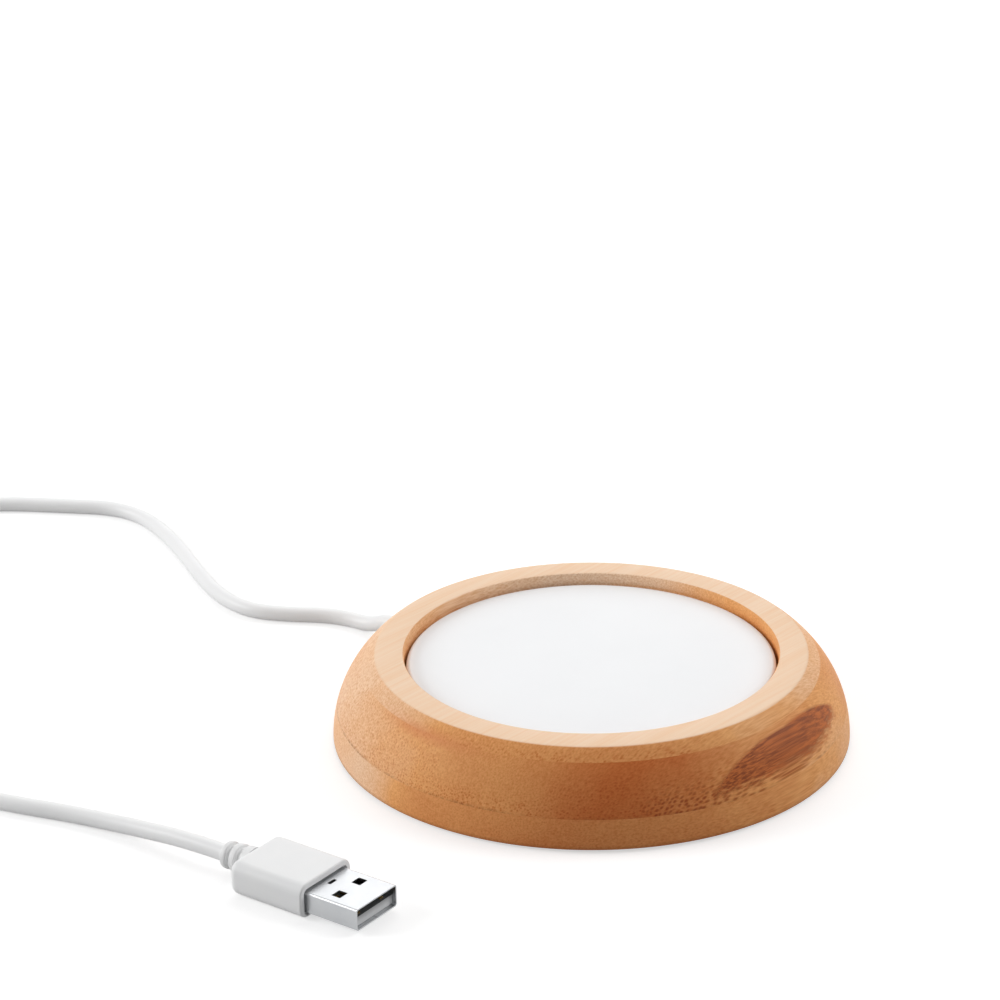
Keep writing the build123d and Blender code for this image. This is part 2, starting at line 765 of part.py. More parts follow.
# --- USB plug, in its own frame --------------------------------------------------------------------
def place_on_plug():
    """The plug's own frame: its tip at the origin, pointing along X, its underside on the table."""
    return Location((plug_tip[0], plug_tip[1], 0), (0, 0, plug_heading))


def behind_collar(distance):
    """A point on the collar's axis, so far behind its end."""
    return tuple((place_on_plug() * Pos(collar_end_x - distance, 0, overmould_middle_height)).position)


def bar_along_x(width, height, radius, x_from, x_to, middle_height=shell_middle_height):
    """A round-cornered bar along X, about the shell's middle line if no other height is given."""
    profile = Plane.YZ * RectangleRounded(width, height, radius)
    return Pos(x_from, 0, middle_height) * extrude(profile, x_to - x_from)


def usb_shell():
    inner_width, inner_height = shell_width - 2 * shell_sheet, shell_height - 2 * shell_sheet
    shell = bar_along_x(shell_width, shell_height, shell_corner_radius, shell_rear_x, 0)
    shell -= bar_along_x(inner_width, inner_height, shell_corner_radius - shell_sheet, shell_rear_x, 0)
    for side in (-1, 1):
        at = (-shell_window_from_tip, side * shell_window_spacing / 2)
        shell -= block(shell_window_length, shell_window_width, 0, overmould_height, at)
    slot_at = (-shell_exposed + shell_slot_from_root, 0)
    return shell - block(shell_slot_length, shell_slot_width, shell_middle_height, overmould_height, slot_at)


def usb_tongue():
    tongue_width = shell_width - 2 * shell_sheet - 2 * running_clearance
    corner = shell_corner_radius - shell_sheet
    core = bar_along_x(tongue_width, tongue_height, corner, shell_rear_x, -tongue_setback)
    return core - block(shell_exposed, shell_width, tongue_top, overmould_height, (-shell_exposed / 2, 0))


def usb_contacts():
    contacts = []
    for spacing, length in ((outer_contact_spacing, outer_contact_length),
                            (inner_contact_spacing, inner_contact_length)):
        middle_x = -tongue_setback - contact_setback - outer_contact_length + length / 2
        for side in (-1, 1):
            at = (middle_x, side * spacing / 2)
            contacts.append(block(length, contact_width, tongue_top, tongue_top + contact_thickness, at))
    return contacts


def plug_overmould():
    body = bar_along_x(
        overmould_width, overmould_height, overmould_corner_radius, overmould_rear_x, -shell_exposed,
        overmould_middle_height,
    )
    body = fillet(body.faces().sort_by(Axis.X)[0].edges(), overmould_rear_radius)
    body = fillet(body.faces().sort_by(Axis.X)[-1].edges(), overmould_front_radius)
    rim_width = shell_width + 2 * overmould_rim_gap
    rim_height = shell_height + 2 * overmould_rim_gap
    rim_from = -shell_exposed - overmould_rim_depth
    body -= bar_along_x(rim_width, rim_height, shell_corner_radius + overmould_rim_gap, rim_from, 0)
    fit = 2 * running_clearance
    return body - bar_along_x(shell_width + fit, shell_height + fit, shell_corner_radius, shell_rear_x, 0)


def plug_collar():
    """The ribbed sleeve behind the plug, where the cord enters."""
    root_radius, tip_radius = cord_radius + collar_root_wall, cord_radius + collar_tip_wall
    taper = (tip_radius - root_radius) / collar_length
    pitch = collar_length / (collar_grooves + 0.5)
    profile = [(0, 0), (0, root_radius)]
    for count in range(collar_grooves):
        end = pitch * (count + 1)
        start = end - collar_groove_width
        for x, depth in ((start, 0), (start, collar_groove_depth), (end, collar_groove_depth), (end, 0)):
            profile.append((x, root_radius + taper * x - depth))
    profile += [(collar_length, tip_radius), (collar_length, 0)]
    face = make_face(Polyline(*[(overmould_rear_x - x, r, 0) for x, r in profile], close=True))
    return Pos(0, 0, overmould_middle_height) * revolve(face, Axis.X)


# --- Free cord -----------------------------------------------------------------------------------
on_table = cord_radius
on_coil_bottom = coil_bottom + cord_radius
on_coil_top = coil_bottom + 3 * cord_radius
route_from_base = [
    (0.0, relief_tip_y, exit_height),
    (0.0, 61.2, exit_height),
    (-0.2, 67.4, 1.9),
    (-0.9, 73.2, on_table),
    (-3.6, 78.8, on_table),
    (-8.9, 84.6, on_table),
    (-13.4, 91.7, on_table),
    (-13.5, 101.1, on_table),
    (-9.5, 113.6, on_table),
    (-3.6, 127.1, on_table),
    (0.9, 140.1, on_table),
    (2.9, 150.6, on_table),
    (1.0, 159.6, on_table),
    (-6.0, 168.4, on_table),
    (-14.2, 178.6, on_table),
    (-24.8, 187.8, on_table),
    (-38.4, 194.6, on_table),
    (-54.8, 197.4, on_table),
    (-71.6, 193.6, on_table),
    (-85.6, 181.0, on_coil_bottom),
    (-97.9, 168.6, on_coil_bottom),
]
route_to_plug = [
    (-104.8, 155.9, on_coil_top),
    (-108.4, 139.0, 4.6),
    (-111.4, 120.6, 2.6),
    (-112.9, 102.0, on_table),
    (-112.7, 84.6, on_table),
    (-110.4, 68.8, on_table),
    (-105.5, 55.6, on_table),
    (-99.3, 43.2, on_table),
    (-94.9, 29.9, 2.2),
    behind_collar(cord_straight_behind_plug),
    behind_collar(0),
]


def corner_radii(points):
    """Each arc as large as its two runs allow."""
    radii = []
    for before, corner, after in zip(points, points[1:], points[2:]):
        run_in = Vector(*corner) - Vector(*before)
        run_out = Vector(*after) - Vector(*corner)
        half_turn = math.radians(run_in.get_angle(run_out)) / 2
        radii.append(0.45 * min(run_in.length, run_out.length) / math.tan(half_turn))
    return radii


def cord_run(points, name):
    radii = corner_radii(points)
    path = FilletPolyline(*points, radius=radii)
    tube = sweep(Plane(origin=path @ 0, z_dir=path % 0) * Circle(cord_radius), path=path)
    section = math.pi * cord_radius ** 2
    print(name, "length", round(path.length, 1), "volume ratio", round(tube.volume / (section * path.length), 4))
    print(name, "radii", [round(r, 1) for r in radii])
    return tube


def cord_coil():
    """The outer shape of the put-away turns: columns beside each other in layers."""
    outer = coil_middle_diameter / 2 + coil_columns * cord_radius
    inner = coil_middle_diameter / 2 - coil_columns * cord_radius
    top = coil_bottom + coil_layers * cord_diameter
    soft = coil_edge_softening
    ring = turned(
        (inner + soft, coil_bottom), (outer - soft, coil_bottom), (outer, coil_bottom + soft),
        (outer, top - soft), (outer - soft, top), (inner + soft, top), (inner, top - soft),
        (inner, coil_bottom + soft),
    )
    return Pos(coil_centre[0], coil_centre[1], 0) * ring


def cord_tie():
    """A flat strap once round the turns."""
    inner_width = coil_columns * cord_diameter + 2 * part_clearance
    inner_top = coil_bottom + coil_layers * cord_diameter + part_clearance
    tie = block(inner_width + 2 * tie_thickness, tie_width, 0, inner_top + tie_thickness)
    tie -= block(inner_width, tie_width, tie_thickness, inner_top)
    tie = fillet(tie.edges().filter_by(Axis.Y), tie_corner_radius)
    return Pos(coil_centre[0], coil_centre[1], 0) * Rot(0, 0, tie_angle) * Pos(coil_middle_diameter / 2, 0, 0) * tie


def save(name, *shapes):
    """Write one node, of one solid or of several alike."""
    solids = [solid for shape in shapes for solid in shape.solids()]
    node = Compound(children=solids) if len(solids) > 1 else solids[0]
    node.label = name
    export_step(node, f"parts/{name}.step")


os.makedirs("parts", exist_ok=True)

ring = whole_ring()
lower_top = ring_bottom + lower_ply_height
middle_top = ring_top - top_ply_height
save("ring_lower_ply", ring_ply(ring, ring_bottom, lower_top))
save("ring_middle_ply", ring_ply(ring, lower_top, middle_top))
save("ring_top_ply", ring_ply(ring, middle_top, ring_top))

save("base_cover", base_cover())
for number, place in enumerate(foot_places, start=1):
    save(f"rubber_foot_{number}", rubber_foot(place))
save("cover_screws", *cover_screws())
save("inner_tray", inner_tray())
save("tray_screws", *tray_screws())

save("heater_plate", heater_plate())
save("heater_film", heater_film())
save("heater_foil", heater_foil())
save("insulation_pad", insulation_pad())
save("thermal_fuse", thermal_fuse())
save("plate_carrier", plate_carrier())
save("carrier_screws", *carrier_screws())
save("shoulder_screws", *shoulder_screws())
for number, place in enumerate(guide_places, start=1):
    save(f"return_spring_{number}", return_spring(place))

save("micro_switch", micro_switch())
save("switch_plunger", switch_plunger())
save("control_board", control_board())
save("board_screws", *board_screws())
save("control_chip", control_chip())
save("power_transistor", power_transistor())
save("board_resistors", *row_under_board(resistor_size, resistor_first_at, resistor_pitch, resistor_count))
save("board_capacitors", *row_under_board(capacitor_size, capacitor_first_at, capacitor_pitch, capacitor_count))
save("supply_header", supply_header())
save("supply_wire_red", supply_wire(1))
save("supply_wire_black", supply_wire(-1))
for number, place in enumerate(lead_places, start=1):
    save(f"heater_lead_{number}", heater_lead(place))

save("strain_relief", strain_relief())
save("lead_in_cord", lead_in_cord())
save("cord_clamp", cord_clamp())
save("clamp_screws", *clamp_screws())
save("cord_from_base", cord_run(route_from_base, "cord_from_base"))
save("cord_coil", cord_coil())
save("cord_tie", cord_tie())
save("cord_to_plug", cord_run(route_to_plug, "cord_to_plug"))

plug = place_on_plug()
save("plug_overmould", plug * plug_overmould())
save("plug_collar", plug * plug_collar())
save("usb_shell", plug * usb_shell())
save("usb_tongue", plug * usb_tongue())
save("usb_contacts", *[plug * contact for contact in usb_contacts()])
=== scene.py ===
from math import asin, cos, pi, radians, sin, sqrt

import bmesh
import bpy
from mathutils import Matrix, Vector


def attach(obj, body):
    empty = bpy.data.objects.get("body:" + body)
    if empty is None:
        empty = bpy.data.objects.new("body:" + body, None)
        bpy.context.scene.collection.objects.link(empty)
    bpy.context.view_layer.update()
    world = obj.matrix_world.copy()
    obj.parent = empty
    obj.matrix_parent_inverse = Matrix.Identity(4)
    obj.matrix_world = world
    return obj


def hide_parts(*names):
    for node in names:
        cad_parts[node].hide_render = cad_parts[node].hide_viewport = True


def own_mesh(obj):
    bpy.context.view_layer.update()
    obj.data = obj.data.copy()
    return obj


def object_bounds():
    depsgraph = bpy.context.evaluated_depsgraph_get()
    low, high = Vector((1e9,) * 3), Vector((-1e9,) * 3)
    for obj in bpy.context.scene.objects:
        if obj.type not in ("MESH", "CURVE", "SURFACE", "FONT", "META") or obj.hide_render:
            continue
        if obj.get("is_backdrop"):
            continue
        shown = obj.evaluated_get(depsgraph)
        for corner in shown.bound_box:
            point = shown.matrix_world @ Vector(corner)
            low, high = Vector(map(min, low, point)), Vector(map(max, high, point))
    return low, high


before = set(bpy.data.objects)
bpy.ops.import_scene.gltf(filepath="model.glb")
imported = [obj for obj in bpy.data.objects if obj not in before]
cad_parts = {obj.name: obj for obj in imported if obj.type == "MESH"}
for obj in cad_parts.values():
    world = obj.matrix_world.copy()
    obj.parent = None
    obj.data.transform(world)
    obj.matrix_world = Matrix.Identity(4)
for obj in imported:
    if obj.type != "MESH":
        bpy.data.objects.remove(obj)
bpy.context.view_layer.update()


# --- View --------------------------------------------------------------------
# A long lens on a stand, looking down on the warmer past its plug.
camera_place = (-0.45975, -0.45975, 0.32293)
camera_heading = radians(-43.413)
camera_looks_down = radians(22.689)
camera_roll = radians(-0.716)

bpy.ops.object.select_all(action="DESELECT")
bpy.ops.object.camera_add()
camera = bpy.context.object
camera.matrix_world = (
    Matrix.Translation(camera_place)
    @ Matrix.Rotation(camera_heading, 4, "Z")
    @ Matrix.Rotation(pi / 2 - camera_looks_down, 4, "X")
    @ Matrix.Rotation(camera_roll, 4, "Z")
)
camera.data.lens = 127.86
camera.data.sensor_width = 36
camera.data.clip_start = 0.01
bpy.context.scene.camera = camera
bpy.context.scene.view_settings.view_transform = "Standard"


# --- Studio ------------------------------------------------------------------
# A white floor under a dim white room, with soft lamps: the strongest on the left, one on the right,
# one overhead and a faint one behind. The lens and polished metal see the floor and the room white.
floor_size = 8.0
floor_grey = 0.62
floor_lift = 0.56
room_light = 0.28
white = (1.0, 1.0, 1.0, 1.0)


def add_node(tree, kind, inputs=None, **settings):
    """A shader node with its settings, each input a value or another node's output."""
    node = tree.nodes.new("ShaderNode" + kind)
    for name, value in settings.items():
        setattr(node, name, value)
    for name, value in (inputs or {}).items():
        if isinstance(value, bpy.types.NodeSocket):
            tree.links.new(value, node.inputs[name])
        else:
            node.inputs[name].default_value = value
    return node


def maths(tree, operation, *values):
    return add_node(tree, "Math", dict(enumerate(values)), operation=operation).outputs[0]


def ramp(tree, value, low, high, to_low=0.0, to_high=1.0):
    """A clamped straight ramp of a value."""
    return add_node(tree, "MapRange", {"Value": value, "From Min": low, "From Max": high,
                                       "To Min": to_low, "To Max": to_high}).outputs[0]


def new_material(name):
    """A material, its node tree and its Principled shader."""
    material = bpy.data.materials.new(name)
    material.use_nodes = True
    return material, material.node_tree, material.node_tree.nodes["Principled BSDF"]


def seen_white(tree):
    """1 for rays of the lens and of gloss or glass, 0 for light on the object."""
    rays = add_node(tree, "LightPath").outputs
    gloss = maths(tree, "MAXIMUM", rays["Is Glossy Ray"], rays["Is Transmission Ray"])
    return maths(tree, "MAXIMUM", rays["Is Camera Ray"], gloss)


room = bpy.data.worlds.new("room")
bpy.context.scene.world = room
room.use_nodes = True
room.node_tree.nodes.clear()
room_strength = ramp(room.node_tree, seen_white(room.node_tree), 0.0, 1.0, room_light, 1.0)
room_shader = add_node(room.node_tree, "Background", {"Color": white, "Strength": room_strength})
add_node(room.node_tree, "OutputWorld", {"Surface": room_shader.outputs[0]})

bpy.ops.mesh.primitive_plane_add(size=floor_size)
floor = bpy.context.object
floor.name = "floor"
floor_material, floor_tree, floor_shader = new_material("floor_white")
floor_shader.inputs["Base Color"].default_value = (floor_grey, floor_grey, floor_grey, 1.0)
floor_shader.inputs["Roughness"].default_value = 0.9
floor_shader.inputs["Specular IOR Level"].default_value = 0.0
floor_shader.inputs["Emission Color"].default_value = white
floor_glow = maths(floor_tree, "MULTIPLY", seen_white(floor_tree), floor_lift)
floor_tree.links.new(floor_glow, floor_shader.inputs["Emission Strength"])
floor.data.materials.append(floor_material)
floor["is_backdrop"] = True


def soft_lamp(name, place, size, power):
    """A square lamp that faces the ring."""
    bpy.ops.object.light_add(type="AREA", location=place)
    lamp = bpy.context.object
    lamp.name = name
    lamp.rotation_euler = (-Vector(place)).to_track_quat("-Z", "Y").to_euler()
    lamp.data.size = size
    lamp.data.energy = power
    lamp.visible_camera = False


soft_lamp("lamp_left", (-0.82, 0.78, 0.52), 0.6, 7.8)
soft_lamp("lamp_right", (0.80, -0.55, 0.70), 0.6, 5.2)
soft_lamp("lamp_overhead", (0.45, 0.45, 1.00), 0.8, 3.8)
soft_lamp("lamp_behind", (0.85, 0.80, 0.48), 0.5, 1.05)


# --- Plastics, rubber and metals: shared finish ------------------------------
# Moulded plastic and plated metal are never one flat colour: they have faint cloudy patches, a fine
# grain from their tools, and a sheen that changes a little from place to place.
def new_group(name, sockets_in, sockets_out):
    """An empty node group with named sockets, and its input and output nodes."""
    group = bpy.data.node_groups.new(name, "ShaderNodeTree")
    for way, sockets in (("INPUT", sockets_in), ("OUTPUT", sockets_out)):
        for socket_name, kind in sockets.items():
            group.interface.new_socket(socket_name, in_out=way, socket_type="NodeSocket" + kind)
    return group, group.nodes.new("NodeGroupInput").outputs, group.nodes.new("NodeGroupOutput").inputs


def mix_colours(tree, share, first, second, blend="MIX"):
    return add_node(tree, "Mix", {"Factor": share, "A": first, "B": second},
                    data_type="RGBA", blend_type=blend).outputs["Result"]


mottle, mottle_in, mottle_out = new_group(
    "mottled_surface",
    {"Colour": "Color", "Patch Colour": "Color", "Patches per Metre": "Float", "Grain per Metre": "Float",
     "Roughness": "Float", "Roughness Spread": "Float"},
    {"Colour": "Color", "Roughness": "Float", "Height": "Float"},
)
mottle_place = add_node(mottle, "TexCoord").outputs["Object"]
mottle_patches = add_node(mottle, "TexNoise", {
    "Vector": mottle_place, "Scale": mottle_in["Patches per Metre"],
    "Detail": 4.0, "Roughness": 0.6}).outputs[0]
mottle_grain = add_node(mottle, "TexNoise", {
    "Vector": mottle_place, "Scale": mottle_in["Grain per Metre"],
    "Detail": 3.0, "Roughness": 0.7}).outputs[0]
mottle_colour = mix_colours(mottle, ramp(mottle, mottle_patches, 0.35, 0.7),
                            mottle_in["Colour"], mottle_in["Patch Colour"])
mottle_swing = maths(mottle, "SUBTRACT", mottle_patches, 0.5)
mottle_rough = maths(mottle, "MULTIPLY_ADD", mottle_swing,
                     mottle_in["Roughness Spread"], mottle_in["Roughness"])
mottle.links.new(mottle_colour, mottle_out["Colour"])
mottle.links.new(mottle_rough, mottle_out["Roughness"])
mottle.links.new(mottle_grain, mottle_out["Height"])


def mottled(name, colour, patch_colour, patches, grain, roughness, spread, bump, metallic=0.0):
    """A material of the shared finish, its patches and its grain counted per metre."""
    material, tree, shader = new_material(name)
    finish = tree.nodes.new("ShaderNodeGroup")
    finish.node_tree = mottle
    for socket, value in (("Colour", (*colour, 1.0)), ("Patch Colour", (*patch_colour, 1.0)),
                          ("Patches per Metre", patches), ("Grain per Metre", grain),
                          ("Roughness", roughness), ("Roughness Spread", spread)):
        finish.inputs[socket].default_value = value
    relief = add_node(tree, "Bump", {"Height": finish.outputs["Height"], "Strength": bump,
                                     "Distance": 0.00005})
    tree.links.new(finish.outputs["Colour"], shader.inputs["Base Color"])
    tree.links.new(finish.outputs["Roughness"], shader.inputs["Roughness"])
    tree.links.new(relief.outputs[0], shader.inputs["Normal"])
    shader.inputs["Metallic"].default_value = metallic
    return material


def coat(piece, material):
    """Give a piece its one material."""
    piece.data.materials.clear()
    piece.data.materials.append(material)


def finish_cad(material, *nodes):
    """Give carried-over CAD pieces their material."""
    for node in nodes:
        coat(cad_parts[node], material)


# --- Lead --------------------------------------------------------------------
# Round two-core cord in satin white PVC. It leaves the ring at the back, runs over the table, goes
# six times round a tied coil and comes back along the left to its plug.
cord_diameter = 0.0034
cord_radius = cord_diameter / 2
on_table = cord_radius
tie_thickness = 0.0006
coil_low = tie_thickness + cord_radius
coil_high = coil_low + cord_diameter
coil_centre = (-0.0799, 0.1506)
coil_outer_radius = 0.0255
coil_columns = 4
coil_enter = radians(135)
coil_leave = radians(168)
coil_points_per_turn = 18
climb_turns = 0.25

lead_from_base = [
    (0.0, 0.0565, 0.0048),
    (0.0, 0.0612, 0.0048),
    (-0.0002, 0.0674, 0.0019),
    (-0.0009, 0.0732, on_table),
    (-0.0036, 0.0788, on_table),
    (-0.0089, 0.0846, on_table),
    (-0.0134, 0.0917, on_table),
    (-0.0135, 0.1011, on_table),
    (-0.0095, 0.1136, on_table),
    (-0.0036, 0.1271, on_table),
    (0.0009, 0.1401, on_table),
    (0.0029, 0.1506, on_table),
    (0.0010, 0.1596, on_table),
    (-0.0060, 0.1684, on_table),
    (-0.0142, 0.1786, on_table),
    (-0.0248, 0.1878, on_table),
    (-0.0384, 0.1946, on_table),
    (-0.0548, 0.1974, on_table),
    (-0.0716, 0.1936, on_table),
    (-0.0856, 0.1810, coil_low),
    (-0.0979, 0.1686, coil_low),
]
lead_to_plug = [
    (-0.1048, 0.1559, coil_high),
    (-0.1084, 0.1390, 0.0046),
    (-0.1114, 0.1206, 0.0026),
    (-0.1129, 0.1020, on_table),
    (-0.1127, 0.0846, on_table),
    (-0.1104, 0.0688, on_table),
    (-0.1055, 0.0556, on_table),
    (-0.0993, 0.0432, on_table),
    (-0.0949, 0.0299, 0.0022),
    (-0.09206, 0.01616, 0.0035),
    (-0.09031, 0.00662, 0.0035),
]


def coil_turns():
    """Turns that wind inwards on the table, climb one cord and wind outwards again on top."""
    layer_turns = coil_columns - 1
    flat_turns = (coil_leave - coil_enter) / (2 * pi)
    all_turns = 2 * layer_turns + flat_turns
    middle = all_turns / 2
    inner_radius = coil_outer_radius - layer_turns * cord_diameter
    steps = round(all_turns * coil_points_per_turn)
    outside_curve = 1 / cos(pi / coil_points_per_turn)
    points = []
    for step in range(1, steps):
        turns = all_turns * step / steps
        radius = inner_radius + cord_diameter * max(0.0, abs(turns - middle) - flat_turns / 2)
        climbed = min(1.0, max(0.0, (turns - middle) / climb_turns + 0.5))
        angle = coil_enter + turns * 2 * pi
        points.append((coil_centre[0] + radius * outside_curve * cos(angle),
                       coil_centre[1] + radius * outside_curve * sin(angle),
                       coil_low + (coil_high - coil_low) * climbed))
    return points


def laid_cord(name, points, diameter):
    """A cord along a smooth line that these points steer."""
    line = bpy.data.curves.new(name, "CURVE")
    line.dimensions = "3D"
    spline = line.splines.new("NURBS")
    spline.points.add(len(points) - 1)
    for control, point in zip(spline.points, points):
        control.co = (*point, 1.0)
    spline.order_u = 3
    spline.use_endpoint_u = True
    line.resolution_u = 10
    line.bevel_depth = diameter / 2
    line.bevel_resolution = 6
    line.use_fill_caps = True
    cord = bpy.data.objects.new(name, line)
    bpy.context.scene.collection.objects.link(cord)
    return cord


cord_pvc = mottled("cord_pvc", (0.93, 0.93, 0.93), (0.91, 0.912, 0.915),
                   patches=60, grain=9000, roughness=0.42, spread=0.12, bump=0.15)

lead = laid_cord("usb_lead", lead_from_base + coil_turns() + lead_to_plug, cord_diameter)
coat(lead, cord_pvc)
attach(lead, "base")
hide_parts("cord_from_base", "cord_coil", "cord_to_plug")
finish_cad(cord_pvc, "lead_in_cord")


# --- Bamboo ring -------------------------------------------------------------
# Three plies of bamboo strips, glued up flat and turned together on a lathe to one convex flank with
# a crisp flat lip, then oiled. A pocket under the ledge takes the tray and the base.
ring_low = 0.0006
lower_seam = 0.0067
upper_seam = 0.0161
ring_high = 0.0183
flank_radius = 0.0222
flank_middle = 0.0303
opening_radius = 0.0379
pocket_radius = 0.0450
ledge_height = 0.0123
ring_edge = 0.0003
round_steps = 256
flank_steps_per_radian = 40
exit_height = 0.0048
notch_width = 0.0070
notch_from_y = 0.0400
notch_to_y = 0.0550
notch_below = 0.0020
grain_turn = radians(5)
fibre_spacing = 0.00052
fibre_run = 0.0065
speckle_spacing = 0.00035
speckle_run = 0.0070
streak_spacing = 0.00075
streak_run = 0.0360
strip_width = 0.0224
pale_face = (0.93, 0.685, 0.490)
golden_side = (0.86, 0.430, 0.160)
brown_side = (0.59, 0.172, 0.045)
fibre_brown = (0.32, 0.090, 0.026)
fibre_tint = (0.74, 0.46, 0.29)
large_fibre_tint = (0.50, 0.27, 0.17)
node_dark = (0.24, 0.055, 0.016)
node_red = (0.56, 0.150, 0.038)
speckle_dark = (0.90, 0.77, 0.64)
speckle_light = (1.10, 1.12, 1.16)
glue_stain = (0.72, 0.235, 0.090)


def start_outline(place):
    """One point in edit mode, from which an outline is drawn."""
    bpy.ops.object.select_all(action="DESELECT")
    bpy.ops.mesh.primitive_plane_add(size=0.001, location=place)
    bpy.ops.object.transform_apply(location=True, rotation=False, scale=False)
    bpy.ops.object.mode_set(mode="EDIT")
    bpy.ops.mesh.select_all(action="SELECT")
    bpy.ops.mesh.merge(type="CENTER")
    return bpy.context.object


def draw_line(x=0.0, y=0.0, z=0.0):
    bpy.ops.mesh.extrude_vertices_move(TRANSFORM_OT_translate={"value": (x, y, z)})


def pick(kind, test):
    """Select the verts, edges or faces in edit mode that pass a test."""
    bpy.ops.mesh.select_mode(type={"verts": "VERT", "edges": "EDGE", "faces": "FACE"}[kind])
    bpy.ops.mesh.select_all(action="DESELECT")
    mesh = bmesh.from_edit_mesh(bpy.context.object.data)
    for element in getattr(mesh, kind):
        if test(element):
            element.select_set(True)
    bmesh.update_edit_mesh(bpy.context.object.data)


def lies_at(point, x, z):
    """True for a vert of an outline in the XZ plane that lies at this place."""
    return (point.co - Vector((x, 0, z))).length < 1e-6


def merge_points():
    bpy.ops.mesh.select_all(action="SELECT")
    bpy.ops.mesh.remove_doubles(threshold=1e-7)


def close_solid():
    """Merge what meets, turn all faces outwards and leave edit mode."""
    bpy.ops.mesh.select_mode(type="VERT")
    merge_points()
    bpy.ops.mesh.normals_make_consistent(inside=False)
    bpy.ops.object.mode_set(mode="OBJECT")


def spin_round(axis=(0, 0, 1), middle=(0, 0, 0), steps=round_steps):
    """Turn the outline once round an axis into a closed solid."""
    merge_points()
    bpy.ops.mesh.spin(steps=steps, angle=2 * pi, center=middle, axis=axis)
    close_solid()


def select_only(piece):
    bpy.ops.object.select_all(action="DESELECT")
    piece.select_set(True)
    bpy.context.view_layer.objects.active = piece


def smooth_piece(piece, name, edge_angle=30):
    """Name a finished piece and smooth it between its edges."""
    piece.name = name
    select_only(piece)
    bpy.ops.object.shade_smooth_by_angle(angle=radians(edge_angle))


def keep_flats(piece):
    """Let flat faces rule the shading, so that rounded edges don't cloud them."""
    weighted = piece.modifiers.new("flats", "WEIGHTED_NORMAL")
    weighted.keep_sharp = True
    bpy.context.view_layer.objects.active = piece
    bpy.ops.object.modifier_apply(modifier="flats")


def combine(piece, tool, operation):
    """Cut a piece with a tool, or fuse the two, and clear the tool away."""
    bpy.context.view_layer.objects.active = piece
    modifier = piece.modifiers.new(operation.lower(), "BOOLEAN")
    modifier.object = tool
    modifier.operation = operation
    modifier.solver = "EXACT"
    bpy.ops.object.modifier_apply(modifier=modifier.name)
    bpy.data.objects.remove(tool)


def flank(height):
    return flank_middle + sqrt(flank_radius ** 2 - (height - ring_low) ** 2)


def turned_ply(name, low, high, inner_steps, rounded):
    """One ply: its share of the flank's arc, then steps inwards and down, its free edges rounded."""
    ply = start_outline((flank(low), 0, low))
    turn = asin((high - ring_low) / flank_radius) - asin((low - ring_low) / flank_radius)
    bpy.ops.mesh.spin(steps=max(6, round(turn * flank_steps_per_radian)), angle=turn,
                      center=(flank_middle, 0, ring_low), axis=(0, 1, 0))
    x, z = flank(high), high
    for next_x, next_z in inner_steps:
        draw_line(x=next_x - x, z=next_z - z)
        x, z = next_x, next_z
    merge_points()
    pick("verts", lambda point: any(lies_at(point, x, z) for x, z in rounded))
    bpy.ops.mesh.bevel(offset=ring_edge, segments=4, affect="VERTICES")
    spin_round()
    return ply


def exit_slot():
    """The round-topped slot through the back of the ring, as a cutter."""
    run = notch_to_y - notch_from_y
    middle = (notch_from_y + notch_to_y) / 2
    bpy.ops.mesh.primitive_cylinder_add(vertices=64, radius=notch_width / 2, depth=run,
                                        location=(0, middle, exit_height), rotation=(pi / 2, 0, 0))
    slot = bpy.context.object
    bpy.ops.mesh.primitive_cube_add(size=1, location=(0, middle, (exit_height - notch_below) / 2),
                                    scale=(notch_width, run, exit_height + notch_below))
    combine(slot, bpy.context.object, "UNION")
    return slot


def fade(tree, value, full, none, strength=1.0):
    """Full strength as far as one value, falling to nothing at another."""
    return ramp(tree, value, full, none, strength, 0.0)


def facing_up(tree):
    """How far the surface faces up, from -1 to 1."""
    return add_node(tree, "SeparateXYZ", {0: add_node(tree, "TexCoord").outputs["Normal"]}).outputs[2]


def grain_place(tree):
    """Where a point lies along the grain, across it and up, in metres."""
    place = add_node(tree, "TexCoord").outputs["Object"]
    lying = add_node(tree, "Mapping", {"Vector": place, "Rotation": (0, 0, -grain_turn)})
    return add_node(tree, "SeparateXYZ", {0: lying.outputs[0]}).outputs


def along_fibres(tree, place, spacing, run, shuffle):
    """A place stretched along the grain, so that a pattern on it is drawn out into fibres."""
    along, across, up = place
    return add_node(tree, "CombineXYZ", {0: maths(tree, "MULTIPLY_ADD", along, 1 / run, shuffle),
                                         1: maths(tree, "MULTIPLY", across, 1 / spacing),
                                         2: maths(tree, "MULTIPLY", up, 1 / spacing)}).outputs[0]


# Fibre bundles run along each strip: dots and a fine speckle where the ring cuts across them, faint
# lines where it runs along them. The sanded faces are pale, the oiled sides golden to brown.
bamboo, bamboo_in, bamboo_out = new_group(
    "bamboo_grain",
    {"Pale Face": "Color", "Golden Side": "Color", "Brown Side": "Color", "Fibre Tint": "Color",
     "Tone": "Float", "Dotted": "Float", "Shuffle": "Float"},
    {"Colour": "Color", "Roughness": "Float", "Height": "Float", "Streaks": "Float", "Speckle": "Float"},
)
place = grain_place(bamboo)
face_share = ramp(bamboo, maths(bamboo, "ABSOLUTE", facing_up(bamboo)), 0.84, 0.97)
bundles = add_node(bamboo, "TexVoronoi", {
    "Vector": along_fibres(bamboo, place, fibre_spacing, fibre_run, bamboo_in["Shuffle"]),
    "Scale": 1.0, "Randomness": 0.95})
bundle_dark = fade(bamboo, bundles.outputs["Distance"], 0.10, 0.52)
speckle = add_node(bamboo, "TexNoise", {
    "Vector": along_fibres(bamboo, place, speckle_spacing, speckle_run, bamboo_in["Shuffle"]),
    "Scale": 1.0, "Detail": 2.0, "Roughness": 0.6}).outputs[0]
